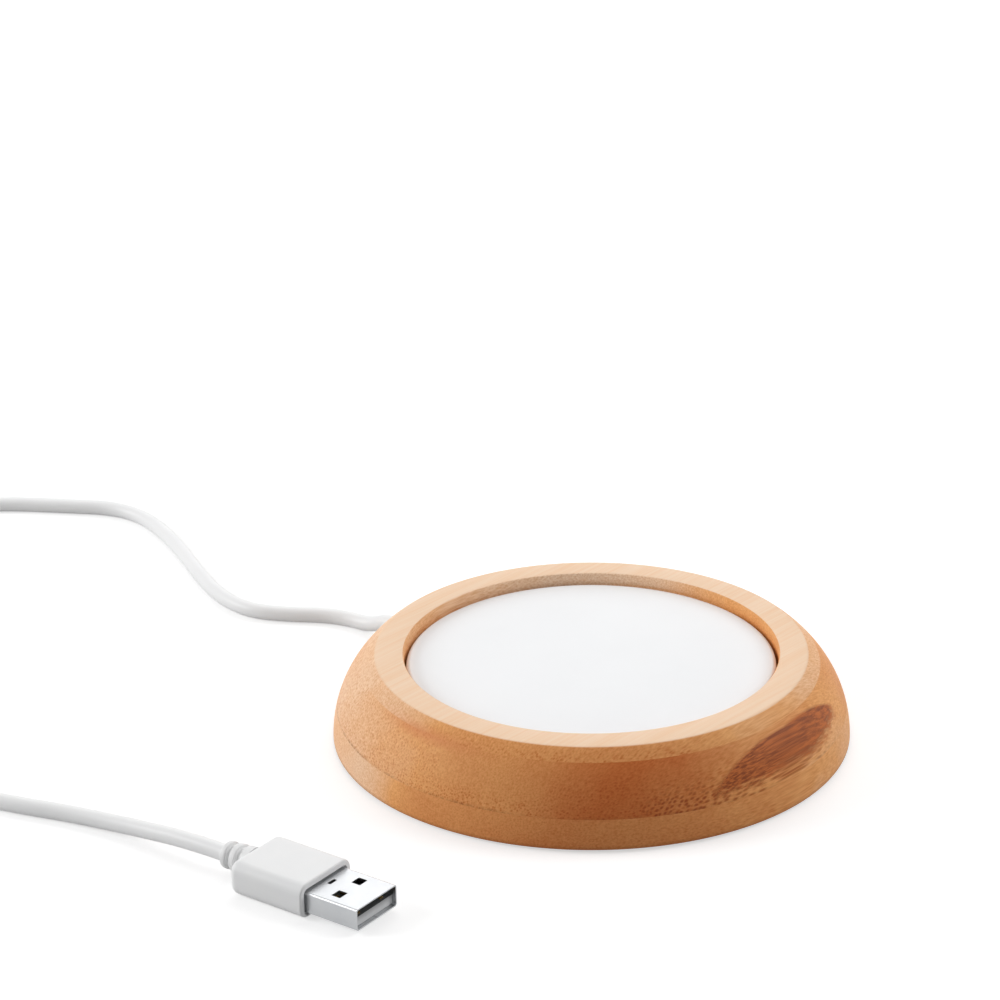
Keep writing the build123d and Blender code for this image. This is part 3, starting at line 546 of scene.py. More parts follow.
streaks = add_node(bamboo, "TexNoise", {
    "Vector": along_fibres(bamboo, place, streak_spacing, streak_run, bamboo_in["Shuffle"]),
    "Scale": 1.0, "Detail": 3.0, "Roughness": 0.65}).outputs[0]
clouds = add_node(bamboo, "TexNoise", {"Vector": add_node(bamboo, "TexCoord").outputs["Object"],
                                       "Scale": 60.0, "Detail": 3.0}).outputs[0]
tone = maths(bamboo, "ADD", bamboo_in["Tone"], ramp(bamboo, clouds, 0.30, 0.70, -0.09, 0.09))
side_colour = mix_colours(bamboo, ramp(bamboo, tone, 0.0, 0.5), bamboo_in["Pale Face"],
                          bamboo_in["Golden Side"])
side_colour = mix_colours(bamboo, ramp(bamboo, tone, 0.5, 1.0), side_colour, bamboo_in["Brown Side"])
speckle_tint = mix_colours(bamboo, ramp(bamboo, speckle, 0.32, 0.68), (*speckle_dark, 1.0),
                           (*speckle_light, 1.0))
side_colour = mix_colours(bamboo, 1.0, side_colour, speckle_tint, "MULTIPLY")
dot_share = maths(bamboo, "MULTIPLY", bundle_dark, bamboo_in["Dotted"])
side_colour = mix_colours(bamboo, dot_share, side_colour, bamboo_in["Fibre Tint"], "MULTIPLY")
face_colour = mix_colours(bamboo, ramp(bamboo, streaks, 0.38, 0.70, 0.0, 0.30), bamboo_in["Pale Face"],
                          bamboo_in["Golden Side"])
wood_colour = mix_colours(bamboo, face_share, side_colour, face_colour)
bamboo.links.new(wood_colour, bamboo_out["Colour"])
bamboo.links.new(ramp(bamboo, streaks, 0.2, 0.8, 0.44, 0.60), bamboo_out["Roughness"])
bamboo.links.new(maths(bamboo, "SUBTRACT", streaks, maths(bamboo, "MULTIPLY", dot_share, 0.8)),
                 bamboo_out["Height"])
bamboo.links.new(streaks, bamboo_out["Streaks"])
bamboo.links.new(speckle, bamboo_out["Speckle"])


def strip_ramp(tree, across, first_strip, joins, strips):
    """The strips' values across the ring, held over each strip or blended from one to the next."""
    last_strip = first_strip + strip_width * len(strips)
    kinds = add_node(tree, "ValToRGB", {0: ramp(tree, across, first_strip, last_strip)})
    kinds.color_ramp.interpolation = joins
    while len(kinds.color_ramp.elements) < len(strips):
        kinds.color_ramp.elements.new(0.5)
    for count, values in enumerate(strips):
        kinds.color_ramp.elements[count].position = count / len(strips)
        kinds.color_ramp.elements[count].color = (*values, 1.0)
    return add_node(tree, "SeparateColor", {0: kinds.outputs[0]}).outputs


# A strip keeps a little of its own tone where it is blended with the next, and its tone and reach
# shuffle its fibres, so that they don't run on from strip to strip.
held_tone_share = 0.03
inner_wall_tone_and_shade = 0.27
dot_reach = 1.3
paling_run = 0.022
paling_tones = (0.14, -0.24)
tone_shuffle = 97.0
reach_shuffle = 61.0
stain_height = 0.0159
stain_across = 0.0030
stain_strength = 0.55


def bamboo_ply(name, low, high, first_strip, strips):
    """A ply's material. Each strip from the right side to the left has its tone, how far up its dots
    reach (1 for dot_reach times the ply) and how dark they are. The wood pales along the strips."""
    material, tree, shader = new_material(name)
    along, across, up = grain_place(tree)
    tone = strip_ramp(tree, across, first_strip + strip_width / 2, "EASE", strips)[0]
    held_tone, reach, strength = strip_ramp(tree, across, first_strip, "CONSTANT", strips)
    tone = maths(tree, "MULTIPLY_ADD", maths(tree, "SUBTRACT", held_tone, tone), held_tone_share, tone)
    level_place = add_node(tree, "CombineXYZ", {0: along, 1: across}).outputs[0]
    from_axis = add_node(tree, "VectorMath", {0: level_place}, operation="LENGTH").outputs["Value"]
    # The opening's wall is darker: partly its cut end grain, partly painted shade of the hollow inside the
    # ring.
    inner_wall_grain_and_shade = fade(tree, from_axis, opening_radius + 0.0001, opening_radius + 0.0005, inner_wall_tone_and_shade)
    tone = maths(tree, "ADD", tone, inner_wall_grain_and_shade)
    height_share = ramp(tree, up, low, high)
    reached = maths(tree, "SUBTRACT", maths(tree, "MULTIPLY", reach, dot_reach), height_share)
    faded = ramp(tree, reached, -0.12, 0.15)
    denser = ramp(tree, height_share, 0.0, 0.6, 1.5, 1.0)
    denser = maths(tree, "MULTIPLY", denser, ramp(tree, along, 0.0050, 0.0250, 1.0, 0.25))
    wood = tree.nodes.new("ShaderNodeGroup")
    wood.node_tree = bamboo
    for socket, value in (("Pale Face", pale_face), ("Golden Side", golden_side),
                          ("Brown Side", brown_side), ("Fibre Tint", fibre_tint)):
        wood.inputs[socket].default_value = (*value, 1.0)
    paled = maths(tree, "ADD", tone, ramp(tree, along, -paling_run, paling_run, *paling_tones))
    dotted = maths(tree, "MULTIPLY", maths(tree, "MULTIPLY", faded, denser), strength)
    shuffle = maths(tree, "MULTIPLY_ADD", held_tone, tone_shuffle,
                    maths(tree, "MULTIPLY", reach, reach_shuffle))
    for socket, value in (("Tone", paled), ("Dotted", dotted), ("Shuffle", shuffle)):
        tree.links.new(value, wood.inputs[socket])
    # A reddish stain lies along the upper glue line on one side.
    off_line = maths(tree, "ABSOLUTE", maths(tree, "SUBTRACT", up, stain_height))
    off_middle = maths(tree, "ABSOLUTE", maths(tree, "SUBTRACT", across, stain_across))
    stain = maths(tree, "MULTIPLY", fade(tree, off_line, 0.0001, 0.0015),
                  fade(tree, along, -0.0425, -0.0385))
    stain = maths(tree, "MULTIPLY", stain, fade(tree, off_middle, 0.0030, 0.0150, stain_strength))
    colour = mix_colours(tree, stain, wood.outputs["Colour"], (*glue_stain, 1.0))
    relief = add_node(tree, "Bump", {"Height": wood.outputs["Height"], "Strength": 0.25,
                                     "Distance": 0.00004})
    shader.inputs["Specular IOR Level"].default_value = 0.15
    tree.links.new(wood.outputs["Roughness"], shader.inputs["Roughness"])
    tree.links.new(relief.outputs[0], shader.inputs["Normal"])
    tree.links.new(colour, shader.inputs["Base Color"])
    return material, tree, shader, colour, wood


lower_wood, tree, shader, colour, _ = bamboo_ply(
    "bamboo_lower_ply", ring_low, lower_seam, first_strip=-0.0585,
    strips=[(0.62, 0.5, 0.30), (0.68, 0.9, 0.30), (0.55, 0.6, 0.22), (0.02, 0.9, 0.15),
            (0.05, 0.7, 0.20), (0.20, 0.9, 0.20)])
# Painted contact shade: the lowest millimetre of the lower ply darkens to fibre brown where the ring meets
# the table.
painted_contact_shade = fade(tree, grain_place(tree)[2], ring_low + 0.0002, ring_low + 0.0010, strength=0.45)
colour = mix_colours(tree, painted_contact_shade, colour, (*fibre_brown, 1.0))
tree.links.new(colour, shader.inputs["Base Color"])

top_wood = bamboo_ply(
    "bamboo_top_ply", upper_seam, ring_high, first_strip=-0.0640,
    strips=[(0.46, 0.6, 0.12), (0.54, 0.5, 0.60), (0.48, 0.5, 0.45), (0.04, 0.9, 0.20),
            (0.0, 0.9, 0.15), (0.20, 0.9, 0.30)])[0]
middle_wood, tree, shader, colour, wood = bamboo_ply(
    "bamboo_middle_ply", lower_seam, upper_seam, first_strip=-0.0698,
    strips=[(0.38, 0.30, 0.15), (0.88, 0.60, 0.55), (0.56, 0.28, 0.65), (0.26, 1.0, 0.60),
            (0.0, 0.9, 0.50), (0.20, 0.7, 0.50)])

# A node of the culm crosses the outermost strip as a dark patch: spotted at one end, streaked at the
# other, ragged towards its lower edge. Large bundle ends show below it.
large_bundle_width = 0.00058
large_bundle_height = 0.00085
node_taper = 0.0026
node_foot_rise = 0.0022
node_foot_ragged = 0.006
node_end_ragged = -0.003
node_strength = 0.95

along, across, up = grain_place(tree)
ragged = maths(tree, "SUBTRACT", wood.outputs["Streaks"], 0.5)
bundle_ends = add_node(tree, "CombineXYZ", {
    0: maths(tree, "MULTIPLY", across, 1 / large_bundle_width),
    1: maths(tree, "MULTIPLY", up, 1 / large_bundle_height)}).outputs[0]
large_bundles = add_node(tree, "TexVoronoi", {"Vector": bundle_ends, "Scale": 1.0, "Randomness": 0.65},
                         voronoi_dimensions="2D")
large_dots = fade(tree, large_bundles.outputs["Distance"], 0.16, 0.44, strength=0.78)
for way, full, none in ((up, 0.0088, 0.0125), (across, -0.0420, -0.0385), (along, 0.0040, 0.0160)):
    large_dots = maths(tree, "MULTIPLY", large_dots, fade(tree, way, full, none))
colour = mix_colours(tree, large_dots, colour, (*large_fibre_tint, 1.0), "MULTIPLY")
node_edge = maths(tree, "SUBTRACT", across, ramp(tree, along, 0.0020, 0.0220, 0.0, node_taper))
node_share = fade(tree, node_edge, -0.0473, -0.0469)
node_foot = maths(tree, "SUBTRACT", up, ramp(tree, along, 0.0080, 0.0215, 0.0, node_foot_rise))
node_foot = maths(tree, "MULTIPLY_ADD", ragged, node_foot_ragged, node_foot)
node_share = maths(tree, "MULTIPLY", node_share, ramp(tree, node_foot, 0.0076, 0.0096))
node_end = maths(tree, "MULTIPLY_ADD", ragged, node_end_ragged, along)
node_share = maths(tree, "MULTIPLY", node_share, fade(tree, node_end, 0.0192, 0.0220))
spotted = ramp(tree, wood.outputs["Speckle"], 0.36, 0.60)
streaked = ramp(tree, wood.outputs["Streaks"], 0.38, 0.62)
to_streaks = ramp(tree, along, -0.006, 0.006)
node_light = maths(tree, "MULTIPLY_ADD", to_streaks, maths(tree, "SUBTRACT", streaked, spotted), spotted)
node_colour = mix_colours(tree, node_light, (*node_dark, 1.0), (*node_red, 1.0))
colour = mix_colours(tree, maths(tree, "MULTIPLY", node_share, node_strength), colour, node_colour)
glue_line = fade(tree, up, lower_seam + 0.00010, lower_seam + 0.00065)
glue_line = maths(tree, "MULTIPLY", glue_line, ramp(tree, wood.outputs["Streaks"], 0.38, 0.60, 0.15, 1.0))
breaks = add_node(tree, "TexNoise", {"Vector": add_node(tree, "TexCoord").outputs["Object"],
                                    "Scale": 130.0}).outputs[0]
glue_line = maths(tree, "MULTIPLY", glue_line, ramp(tree, breaks, 0.40, 0.58, 0.25, 1.0))
glue_line = maths(tree, "MULTIPLY", glue_line, ramp(tree, along, -0.0480, -0.0100, 0.70, 0.25))
colour = mix_colours(tree, glue_line, colour, (*fibre_brown, 1.0))
tree.links.new(colour, shader.inputs["Base Color"])

ply_shapes = (
    ("lower_ply", "ring_lower_ply", "bamboo_lower", lower_wood, ring_low, lower_seam,
     ((pocket_radius, lower_seam), (pocket_radius, ring_low), (flank(ring_low), ring_low)),
     ((flank(ring_low), ring_low), (pocket_radius, ring_low))),
    ("middle_ply", "ring_middle_ply", "bamboo_middle", middle_wood, lower_seam, upper_seam,
     ((opening_radius, upper_seam), (opening_radius, ledge_height), (pocket_radius, ledge_height),
      (pocket_radius, lower_seam), (flank(lower_seam), lower_seam)),
     ((opening_radius, ledge_height),)),
    ("top_ply", "ring_top_ply", "bamboo_top", top_wood, upper_seam, ring_high,
     ((opening_radius, ring_high), (opening_radius, upper_seam), (flank(upper_seam), upper_seam)),
     ((flank(ring_high), ring_high), (opening_radius, ring_high))),
)
for name, node, slot, material, low, high, inner_steps, rounded in ply_shapes:
    ply = turned_ply(name, low, high, inner_steps, rounded)
    if low < exit_height + notch_width / 2:
        combine(ply, exit_slot(), "DIFFERENCE")
    smooth_piece(ply, name)
    coat(ply, material)
    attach(ply, "base")
    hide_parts(node)


# --- Base cover, tray and feet -----------------------------------------------
# A pale moulded cover closes the pocket, held by three screws up into a dark tray, which four screws
# hold under the ledge. Four grey rubber feet are pressed into the cover.
cover_plastic = mottled("cover_plastic", (0.84, 0.84, 0.83), (0.81, 0.81, 0.80),
                        patches=45, grain=4200, roughness=0.55, spread=0.12, bump=0.45)
tray_plastic = mottled("tray_plastic", (0.16, 0.16, 0.165), (0.12, 0.12, 0.125),
                       patches=70, grain=3000, roughness=0.60, spread=0.15, bump=0.5)
foot_rubber = mottled("foot_rubber", (0.42, 0.42, 0.43), (0.36, 0.36, 0.37),
                      patches=200, grain=5000, roughness=0.75, spread=0.10, bump=0.6)
zinc_plate = mottled("zinc_plate", (0.68, 0.69, 0.70), (0.58, 0.59, 0.62),
                     patches=700, grain=9000, roughness=0.32, spread=0.2, bump=0.2, metallic=1.0)
finish_cad(cover_plastic, "base_cover")
finish_cad(tray_plastic, "inner_tray")
finish_cad(foot_rubber, "rubber_foot_1", "rubber_foot_2", "rubber_foot_3", "rubber_foot_4")
finish_cad(zinc_plate, "cover_screws", "tray_screws", "board_screws", "clamp_screws", "carrier_screws",
           "shoulder_screws")


# --- Heater plate and its carrier --------------------------------------------
# A round plate pressed from steel with a rolled edge and a short skirt, painted satin light grey. Three
# studs under it take the screws of the carrier, which holds the film, the heating track and the felt.
plate_radius = 0.0374
plate_high = 0.0161
plate_sheet = 0.0010
plate_roll = 0.0009
plate_skirt = 0.0035
stud_circle = 0.0315
stud_radius = 0.0024
stud_low = 0.0128
stud_sink = 0.0002

plate_paint = mottled("plate_paint", (0.905, 0.913, 0.924), (0.890, 0.898, 0.910),
                      patches=35, grain=5200, roughness=0.46, spread=0.08, bump=0.18)

heater_plate = start_outline((0, 0, plate_high))
draw_line(x=plate_radius)
draw_line(z=-plate_skirt)
draw_line(x=-plate_sheet)
draw_line(z=plate_skirt - plate_sheet)
draw_line(x=plate_sheet - plate_radius)
pick("verts", lambda point: lies_at(point, plate_radius, plate_high))
bpy.ops.mesh.bevel(offset=plate_roll, segments=10, affect="VERTICES")
spin_round()
stud_high = plate_high - plate_sheet + stud_sink
for angle in (radians(90), radians(210), radians(330)):
    bpy.ops.mesh.primitive_cylinder_add(
        vertices=48, radius=stud_radius, depth=stud_high - stud_low,
        location=(stud_circle * cos(angle), stud_circle * sin(angle), (stud_high + stud_low) / 2))
    combine(heater_plate, bpy.context.object, "UNION")
smooth_piece(heater_plate, "pressed_plate")
coat(heater_plate, plate_paint)
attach(heater_plate, "plate")
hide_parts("heater_plate")

finish_cad(tray_plastic, "plate_carrier")
finish_cad(mottled("amber_film", (0.62, 0.30, 0.05), (0.52, 0.23, 0.035),
                   patches=120, grain=2500, roughness=0.30, spread=0.1, bump=0.1), "heater_film")
finish_cad(mottled("track_foil", (0.70, 0.50, 0.36), (0.62, 0.42, 0.30),
                   patches=300, grain=8000, roughness=0.35, spread=0.2, bump=0.2, metallic=1.0),
           "heater_foil")
finish_cad(mottled("ceramic_felt", (0.86, 0.86, 0.83), (0.74, 0.74, 0.70),
                   patches=900, grain=6000, roughness=0.92, spread=0.05, bump=1.0), "insulation_pad")
finish_cad(mottled("fuse_case", (0.70, 0.68, 0.62), (0.60, 0.58, 0.53),
                   patches=500, grain=7000, roughness=0.4, spread=0.2, bump=0.2, metallic=0.6),
           "thermal_fuse")
spring_wire = mottled("spring_wire", (0.60, 0.60, 0.61), (0.48, 0.48, 0.50),
                      patches=900, grain=9000, roughness=0.28, spread=0.2, bump=0.2, metallic=1.0)


def let_shorten(node, name, material):
    """A spring or slack lead in place of its node, carried by the base. In the real warmer it shortens as
    the plate sinks.
    """
    piece = bpy.data.objects.new(name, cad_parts[node].data.copy())
    bpy.context.scene.collection.objects.link(piece)
    select_only(piece)
    bpy.ops.object.mode_set(mode="EDIT")
    close_solid()
    smooth_piece(piece, name, edge_angle=40)
    coat(piece, material)
    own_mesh(piece)
    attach(piece, "base")
    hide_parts(node)


for number in (1, 2, 3):
    let_shorten(f"return_spring_{number}", f"plate_spring_{number}", spring_wire)


# --- Switch and control board ------------------------------------------------
# A green board hangs under the tray with its chip, transistor, resistors and capacitors. The micro
# switch on top of it is pressed by the carrier when a mug stands on the plate.
finish_cad(mottled("switch_case", (0.035, 0.035, 0.037), (0.05, 0.05, 0.052),
                   patches=300, grain=5000, roughness=0.45, spread=0.15, bump=0.3), "micro_switch")
finish_cad(mottled("red_plunger", (0.60, 0.055, 0.04), (0.52, 0.04, 0.03),
                   patches=500, grain=5000, roughness=0.4, spread=0.1, bump=0.2), "switch_plunger")
finish_cad(mottled("board_mask", (0.035, 0.23, 0.085), (0.025, 0.17, 0.06),
                   patches=180, grain=2600, roughness=0.28, spread=0.12, bump=0.3), "control_board")
finish_cad(mottled("chip_epoxy", (0.028, 0.028, 0.030), (0.045, 0.045, 0.047),
                   patches=600, grain=7000, roughness=0.55, spread=0.1, bump=0.4),
           "control_chip", "power_transistor", "board_resistors")
finish_cad(mottled("fired_ceramic", (0.58, 0.42, 0.26), (0.50, 0.35, 0.21),
                   patches=800, grain=6000, roughness=0.5, spread=0.1, bump=0.3), "board_capacitors")
finish_cad(mottled("header_nylon", (0.84, 0.83, 0.77), (0.80, 0.78, 0.71),
                   patches=300, grain=5000, roughness=0.45, spread=0.1, bump=0.2), "supply_header")
finish_cad(mottled("red_core", (0.62, 0.03, 0.025), (0.55, 0.025, 0.02),
                   patches=400, grain=8000, roughness=0.35, spread=0.1, bump=0.1), "supply_wire_red")
finish_cad(mottled("black_core", (0.020, 0.020, 0.021), (0.030, 0.030, 0.031),
                   patches=400, grain=8000, roughness=0.35, spread=0.1, bump=0.1), "supply_wire_black")
glass_sleeve = mottled("glass_sleeve", (0.84, 0.81, 0.71), (0.70, 0.67, 0.58),
                       patches=2500, grain=9000, roughness=0.8, spread=0.1, bump=1.0)
for number in (1, 2):
    let_shorten(f"heater_lead_{number}", f"sleeved_lead_{number}", glass_sleeve)
finish_cad(mottled("clamp_nylon", (0.84, 0.84, 0.83), (0.80, 0.80, 0.79),
                   patches=300, grain=5000, roughness=0.5, spread=0.1, bump=0.3), "cord_clamp")


# --- Strain relief -----------------------------------------------------------
# One soft white moulding: a slab that fills the ring's slot, a flange behind the wall, and a ribbed
# snout that lets the cord bend without a kink.
snout_from_y = 0.0500
snout_end_y = 0.0565
snout_root = 0.00310
snout_tip = 0.00235
snout_outside_y = 0.0525
snout_grooves = 2
snout_groove_width = 0.0006
snout_groove_depth = 0.0004
snout_soft_edge = 0.00016
relief_slab_width = 0.0067
relief_slab_low = 0.00075
relief_slab_end_y = 0.0506
relief_seat_radius = 0.04485
relief_flange_thickness = 0.0019
relief_flange_half = radians(7.05)
relief_flange_low = 0.00295
relief_flange_high = 0.00915
cord_fit = 0.00002

snout = start_outline((cord_radius + cord_fit, snout_from_y, exit_height))
draw_line(x=snout_root - cord_radius - cord_fit)
snout_slope = (snout_tip - snout_root) / (snout_end_y - snout_from_y)
snout_x, snout_y = snout_root, snout_from_y
snout_marks = []
for count in range(snout_grooves):
    middle = snout_outside_y + (snout_end_y - snout_outside_y) * (count + 1) / (snout_grooves + 1)
    floor_x = snout_root + snout_slope * (middle - snout_from_y) - snout_groove_depth
    for y, cut_in in ((middle - snout_groove_width / 2, False), (middle - snout_groove_width / 2, True),
                      (middle + snout_groove_width / 2, True), (middle + snout_groove_width / 2, False)):
        snout_marks.append((floor_x if cut_in else snout_root + snout_slope * (y - snout_from_y), y))
snout_marks.append((snout_tip, snout_end_y))
for x, y in snout_marks:
    draw_line(x=x - snout_x, y=y - snout_y)
    snout_x, snout_y = x, y
draw_line(x=cord_radius + cord_fit - snout_x)
draw_line(y=snout_from_y - snout_end_y)
merge_points()
pick("verts", lambda point: point.co.x > cord_radius + 2 * cord_fit and point.co.y > snout_outside_y)
bpy.ops.mesh.bevel(offset=snout_soft_edge, segments=3, affect="VERTICES")
spin_round(axis=(0, 1, 0), middle=(0, 0, exit_height), steps=64)

slab = start_outline((-relief_slab_width / 2, relief_seat_radius, relief_slab_low))
draw_line(z=exit_height - relief_slab_low)
bpy.ops.mesh.spin(steps=24, angle=pi, center=(0, relief_seat_radius, exit_height), axis=(0, 1, 0))
draw_line(z=relief_slab_low - exit_height)
bpy.ops.mesh.select_all(action="SELECT")
bpy.ops.mesh.edge_face_add()
bpy.ops.mesh.extrude_region_move(
    TRANSFORM_OT_translate={"value": (0, relief_slab_end_y - relief_seat_radius, 0)})
close_solid()
combine(snout, slab, "UNION")

flange_x, flange_y = sin(relief_flange_half), cos(relief_flange_half)
flange = start_outline((relief_seat_radius * flange_x, relief_seat_radius * flange_y, relief_flange_low))
draw_line(x=-relief_flange_thickness * flange_x, y=-relief_flange_thickness * flange_y)
bpy.ops.mesh.select_all(action="SELECT")
bpy.ops.mesh.extrude_edges_move(
    TRANSFORM_OT_translate={"value": (0, 0, relief_flange_high - relief_flange_low)})
bpy.ops.mesh.select_all(action="SELECT")
bpy.ops.mesh.spin(steps=10, angle=2 * relief_flange_half, center=(0, 0, 0), axis=(0, 0, 1))
close_solid()
combine(snout, flange, "UNION")
smooth_piece(snout, "relief_snout", edge_angle=40)
relief_pvc = mottled("relief_pvc", (0.86, 0.86, 0.86), (0.83, 0.835, 0.84),
                     patches=90, grain=7000, roughness=0.48, spread=0.10, bump=0.3)
coat(snout, relief_pvc)
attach(snout, "base")
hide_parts("strain_relief")


# --- Tie ---------------------------------------------------------------------
# A soft white strap once round the turns, its end lapped over itself on top.
tie_angle = radians(20)
tie_width = 0.0040
tied_turns_middle = 0.0203
tie_inner_width = 0.0117
tie_inner_high = 0.0077
tie_bend = 0.0012
tie_soft_edge = 0.00012
lap_inwards = 0.0040
lap_outwards = 0.0050
lap_sink = 0.0001
lap_corner = 0.0012

tie_plastic = mottled("tie_plastic", (0.80, 0.80, 0.81), (0.76, 0.76, 0.77),
                      patches=150, grain=5000, roughness=0.55, spread=0.10, bump=0.5)


def seat(piece, x, y, turn):
    """Set a piece modelled about the origin in its place, within its mesh."""
    select_only(piece)
    piece.matrix_world = Matrix.Translation((x, y, 0)) @ Matrix.Rotation(turn, 4, "Z") @ piece.matrix_world
    bpy.ops.object.transform_apply()


def start_block(low, high):
    """A block between two corners, in edit mode."""
    bpy.ops.object.select_all(action="DESELECT")
    bpy.ops.mesh.primitive_cube_add(size=1, location=[(a + b) / 2 for a, b in zip(low, high)],
                                    scale=[b - a for a, b in zip(low, high)])
    bpy.ops.object.transform_apply()
    bpy.ops.object.mode_set(mode="EDIT")
    return bpy.context.object


def runs_along(edge, axis):
    """True for an edge that runs along one axis."""
    run = edge.verts[1].co - edge.verts[0].co
    return abs(run[axis]) > 0.999 * run.length


def round_edges(test, width, segments):
    """Round the edges in edit mode that pass a test."""
    pick("edges", test)
    bpy.ops.mesh.bevel(offset=width, segments=segments, affect="EDGES", clamp_overlap=False)


def open_ends(axis):
    """Take away the two end faces in edit mode that look along one axis."""
    pick("faces", lambda face: abs(face.normal[axis]) > 0.9)
    bpy.ops.mesh.delete(type="ONLY_FACE")


def thicken(piece, thickness):
    """Give the sheet its thickness on its inside."""
    sheet = piece.modifiers.new("sheet", "SOLIDIFY")
    sheet.thickness = thickness
    sheet.offset = -1
    bpy.ops.object.modifier_apply(modifier="sheet")


def soften_edges(piece, width, edge_angle):
    """Round all edges of a closed piece that turn more than an angle."""
    softened = piece.modifiers.new("softened", "BEVEL")
    softened.width = width
    softened.segments = 2
    softened.limit_method = "ANGLE"
    softened.angle_limit = radians(edge_angle)
    bpy.ops.object.modifier_apply(modifier="softened")


tie_outer = tied_turns_middle + tie_inner_width / 2 + tie_thickness
tie_inner = tied_turns_middle - tie_inner_width / 2 - tie_thickness
tie_high = tie_inner_high + tie_thickness
tie = start_block((tie_inner, -tie_width / 2, 0), (tie_outer, tie_width / 2, tie_high))
open_ends(1)
round_edges(lambda edge: runs_along(edge, 1), tie_bend, 5)
close_solid()
thicken(tie, tie_thickness)
lap = start_block((tied_turns_middle - lap_inwards, -tie_width / 2, tie_high - lap_sink),
                  (tied_turns_middle + lap_outwards, tie_width / 2, tie_high + tie_thickness - lap_sink))
round_edges(lambda edge: runs_along(edge, 2), lap_corner, 5)
close_solid()
combine(tie, lap, "UNION")
soften_edges(tie, tie_soft_edge, edge_angle=30)
seat(tie, *coil_centre, tie_angle)
smooth_piece(tie, "coil_tie", edge_angle=40)
coat(tie, tie_plastic)
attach(tie, "base")
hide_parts("cord_tie")


# --- USB plug ----------------------------------------------------------------
# Modelled about its tip, pointing along X, and then set down at the end of the lead. A white body is
# moulded over a bright folded steel shell, with a ribbed sleeve behind. Its top is left bare.
plug_place = (-0.0839, -0.0283, radians(-79.6))
shell_middle = 0.0032
shell_exposed = 0.0119
shell_end = 0.0185
shell_half_width = 0.0060
shell_half_height = 0.00225
shell_corner = 0.0006
shell_sheet = 0.0003
shell_soft_edge = 0.00007
body_end = 0.0293
body_half_width = 0.0075
body_high = 0.0070
body_middle = 0.0035
body_corner = 0.0022
body_rear_corner = 0.0018
body_front_corner = 0.0004
rim_gap = 0.00045
rim_depth = 0.0009

plug_pvc = mottled("plug_pvc", (0.88, 0.88, 0.88), (0.855, 0.86, 0.865),
                   patches=90, grain=6500, roughness=0.46, spread=0.10, bump=0.3)

body = start_block((-body_end, -body_half_width, 0), (-shell_exposed, body_half_width, body_high))
round_edges(lambda edge: runs_along(edge, 0), body_corner, 10)
round_edges(lambda edge: all(abs(point.co.x + body_end) < 1e-6 for point in edge.verts),
            body_rear_corner, 8)
round_edges(lambda edge: all(abs(point.co.x + shell_exposed) < 1e-6 for point in edge.verts),
            body_front_corner, 4)
close_solid()
rim_half_width = shell_half_width + rim_gap
rim_half_height = shell_half_height + rim_gap
rim = start_block((-shell_exposed - rim_depth, -rim_half_width, shell_middle - rim_half_height),
                  (0, rim_half_width, shell_middle + rim_half_height))
round_edges(lambda edge: runs_along(edge, 0), shell_corner + rim_gap, 6)
close_solid()
combine(body, rim, "DIFFERENCE")
seat(body, *plug_place)
smooth_piece(body, "plug_body", edge_angle=35)
keep_flats(body)
coat(body, plug_pvc)
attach(body, "base")
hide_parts("plug_overmould")

sleeve_end = 0.0355
sleeve_root = 0.00315
sleeve_tip = 0.00265
sleeve_grooves = 2
sleeve_groove_width = 0.0010
sleeve_groove_depth = 0.00075
sleeve_soft_edge = 0.00028
sleeve_sink = 0.0003

sleeve = start_outline((-body_end + sleeve_sink, 0, body_middle))
draw_line(z=sleeve_root)
sleeve_x, sleeve_z = -body_end + sleeve_sink, body_middle + sleeve_root
sleeve_pitch = (sleeve_end - body_end) / (sleeve_grooves + 0.5)
sleeve_slope = (sleeve_root - sleeve_tip) / (sleeve_end - body_end)
sleeve_marks = []
for count in range(sleeve_grooves):
    groove_end = sleeve_pitch * (count + 1)
    groove_start = groove_end - sleeve_groove_width
    for back, depth in ((groove_start, 0.0), (groove_start, sleeve_groove_depth),
                        (groove_end, sleeve_groove_depth), (groove_end, 0.0)):
        sleeve_marks.append((-body_end - back, body_middle + sleeve_root - sleeve_slope * back - depth))
sleeve_marks += [(-sleeve_end, body_middle + sleeve_tip), (-sleeve_end, body_middle)]
for x, z in sleeve_marks:
    draw_line(x=x - sleeve_x, z=z - sleeve_z)
    sleeve_x, sleeve_z = x, z
pick("verts", lambda point: point.co.x < -body_end and point.co.z > body_middle + sleeve_tip / 2)
bpy.ops.mesh.bevel(offset=sleeve_soft_edge, segments=3, affect="VERTICES")
spin_round(axis=(1, 0, 0), middle=(0, 0, body_middle), steps=64)
seat(sleeve, *plug_place)
smooth_piece(sleeve, "plug_sleeve", edge_angle=40)
coat(sleeve, relief_pvc)
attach(sleeve, "base")
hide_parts("plug_collar")

shell_steel = mottled("shell_steel", (0.49, 0.50, 0.51), (0.46, 0.47, 0.485),
                      patches=300, grain=2500, roughness=0.30, spread=0.12, bump=0.04, metallic=1.0)

shell = start_block((-shell_end, -shell_half_width, shell_middle - shell_half_height),
                    (0, shell_half_width, shell_middle + shell_half_height))
open_ends(0)
round_edges(lambda edge: runs_along(edge, 0), shell_corner, 6)
close_solid()
thicken(shell, shell_sheet)

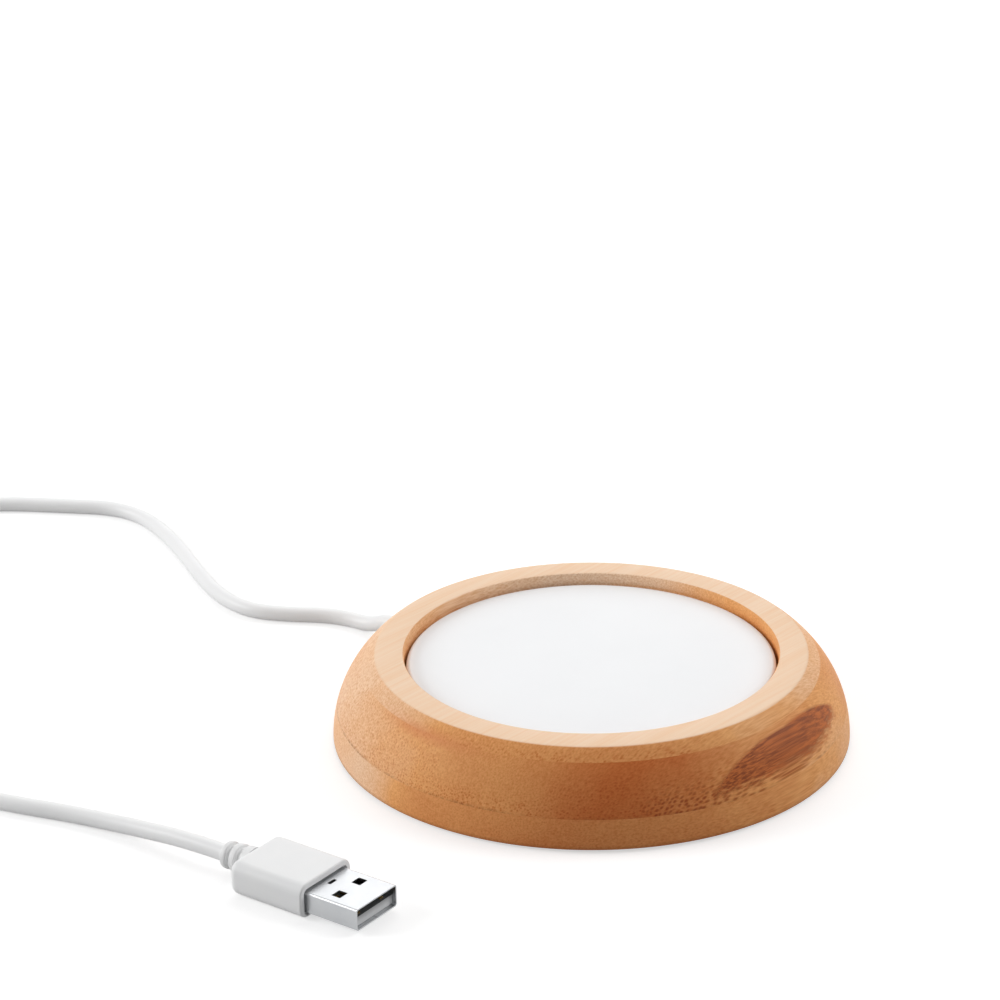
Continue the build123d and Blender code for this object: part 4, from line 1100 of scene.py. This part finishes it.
# Two pairs of nearly square windows face each other in the shell's top and bottom. A narrow slot lies
# behind them in the top, and the fold's seam runs along the bottom.
below_plug = -0.001
above_plug = 0.009
window_back_x = -0.0073
window_front_x = -0.0053
window_middle_y = 0.00295
window_half_width = 0.00115
slot_back_x = -0.0108
slot_front_x = -0.0100
slot_half_width = 0.0010
hole_corner = 0.00015
seam_back_x = -0.0190
seam_front_x = 0.0010
seam_half_width = 0.00006
seam_corner = 0.00005

shell_holes = [((window_back_x, middle - window_half_width, below_plug),
                (window_front_x, middle + window_half_width, above_plug), hole_corner)
               for middle in (-window_middle_y, window_middle_y)]
shell_holes += [((slot_back_x, -slot_half_width, shell_middle),
                 (slot_front_x, slot_half_width, above_plug), hole_corner),
                ((seam_back_x, -seam_half_width, 0.0),
                 (seam_front_x, seam_half_width, shell_middle), seam_corner)]
for low, high, corner in shell_holes:
    hole = start_block(low, high)
    round_edges(lambda edge: runs_along(edge, 2), corner, 3)
    close_solid()
    combine(shell, hole, "DIFFERENCE")
soften_edges(shell, shell_soft_edge, edge_angle=50)
seat(shell, *plug_place)
smooth_piece(shell, "plug_shell", edge_angle=35)
keep_flats(shell)
coat(shell, shell_steel)
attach(shell, "base")
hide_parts("usb_shell")

# The tongue is moulded in light grey. Painted shade darkens it towards the gap above it, under the shell's
# roof, and on its faces that look up.
tongue_plastic = mottled("tongue_plastic", (0.72, 0.73, 0.74), (0.66, 0.67, 0.68),
                         patches=300, grain=5000, roughness=0.5, spread=0.1, bump=0.2)
painted_gap_shade_grey = (0.065, 0.067, 0.069)
tree = tongue_plastic.node_tree
shader = tree.nodes["Principled BSDF"]
own_colour = shader.inputs["Base Color"].links[0].from_socket
tongue_up = add_node(tree, "SeparateXYZ", {0: add_node(tree, "TexCoord").outputs["Object"]}).outputs[2]
# Painted shade: a near-black grey laid over the tongue by height and on its upward faces, where the
# shell's roof shades it.
near_gap_shade_share = ramp(tree, tongue_up, shell_middle - 0.0012, shell_middle + 0.0002, 0.0, 0.75)
tongue_painted_shade = maths(tree, "MAXIMUM", near_gap_shade_share, ramp(tree, facing_up(tree), 0.4, 0.8))
tongue_colour = mix_colours(tree, tongue_painted_shade, own_colour, (*painted_gap_shade_grey, 1.0))
tree.links.new(tongue_colour, shader.inputs["Base Color"])
finish_cad(tongue_plastic, "usb_tongue")
# The contacts' gold is dimmed as painted shade, for their place deep under the shell's roof.
finish_cad(mottled("contact_gold", (0.42, 0.29, 0.10), (0.34, 0.23, 0.08),
                   patches=500, grain=9000, roughness=0.42, spread=0.1, bump=0.1, metallic=1.0),
           "usb_contacts")

low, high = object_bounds()
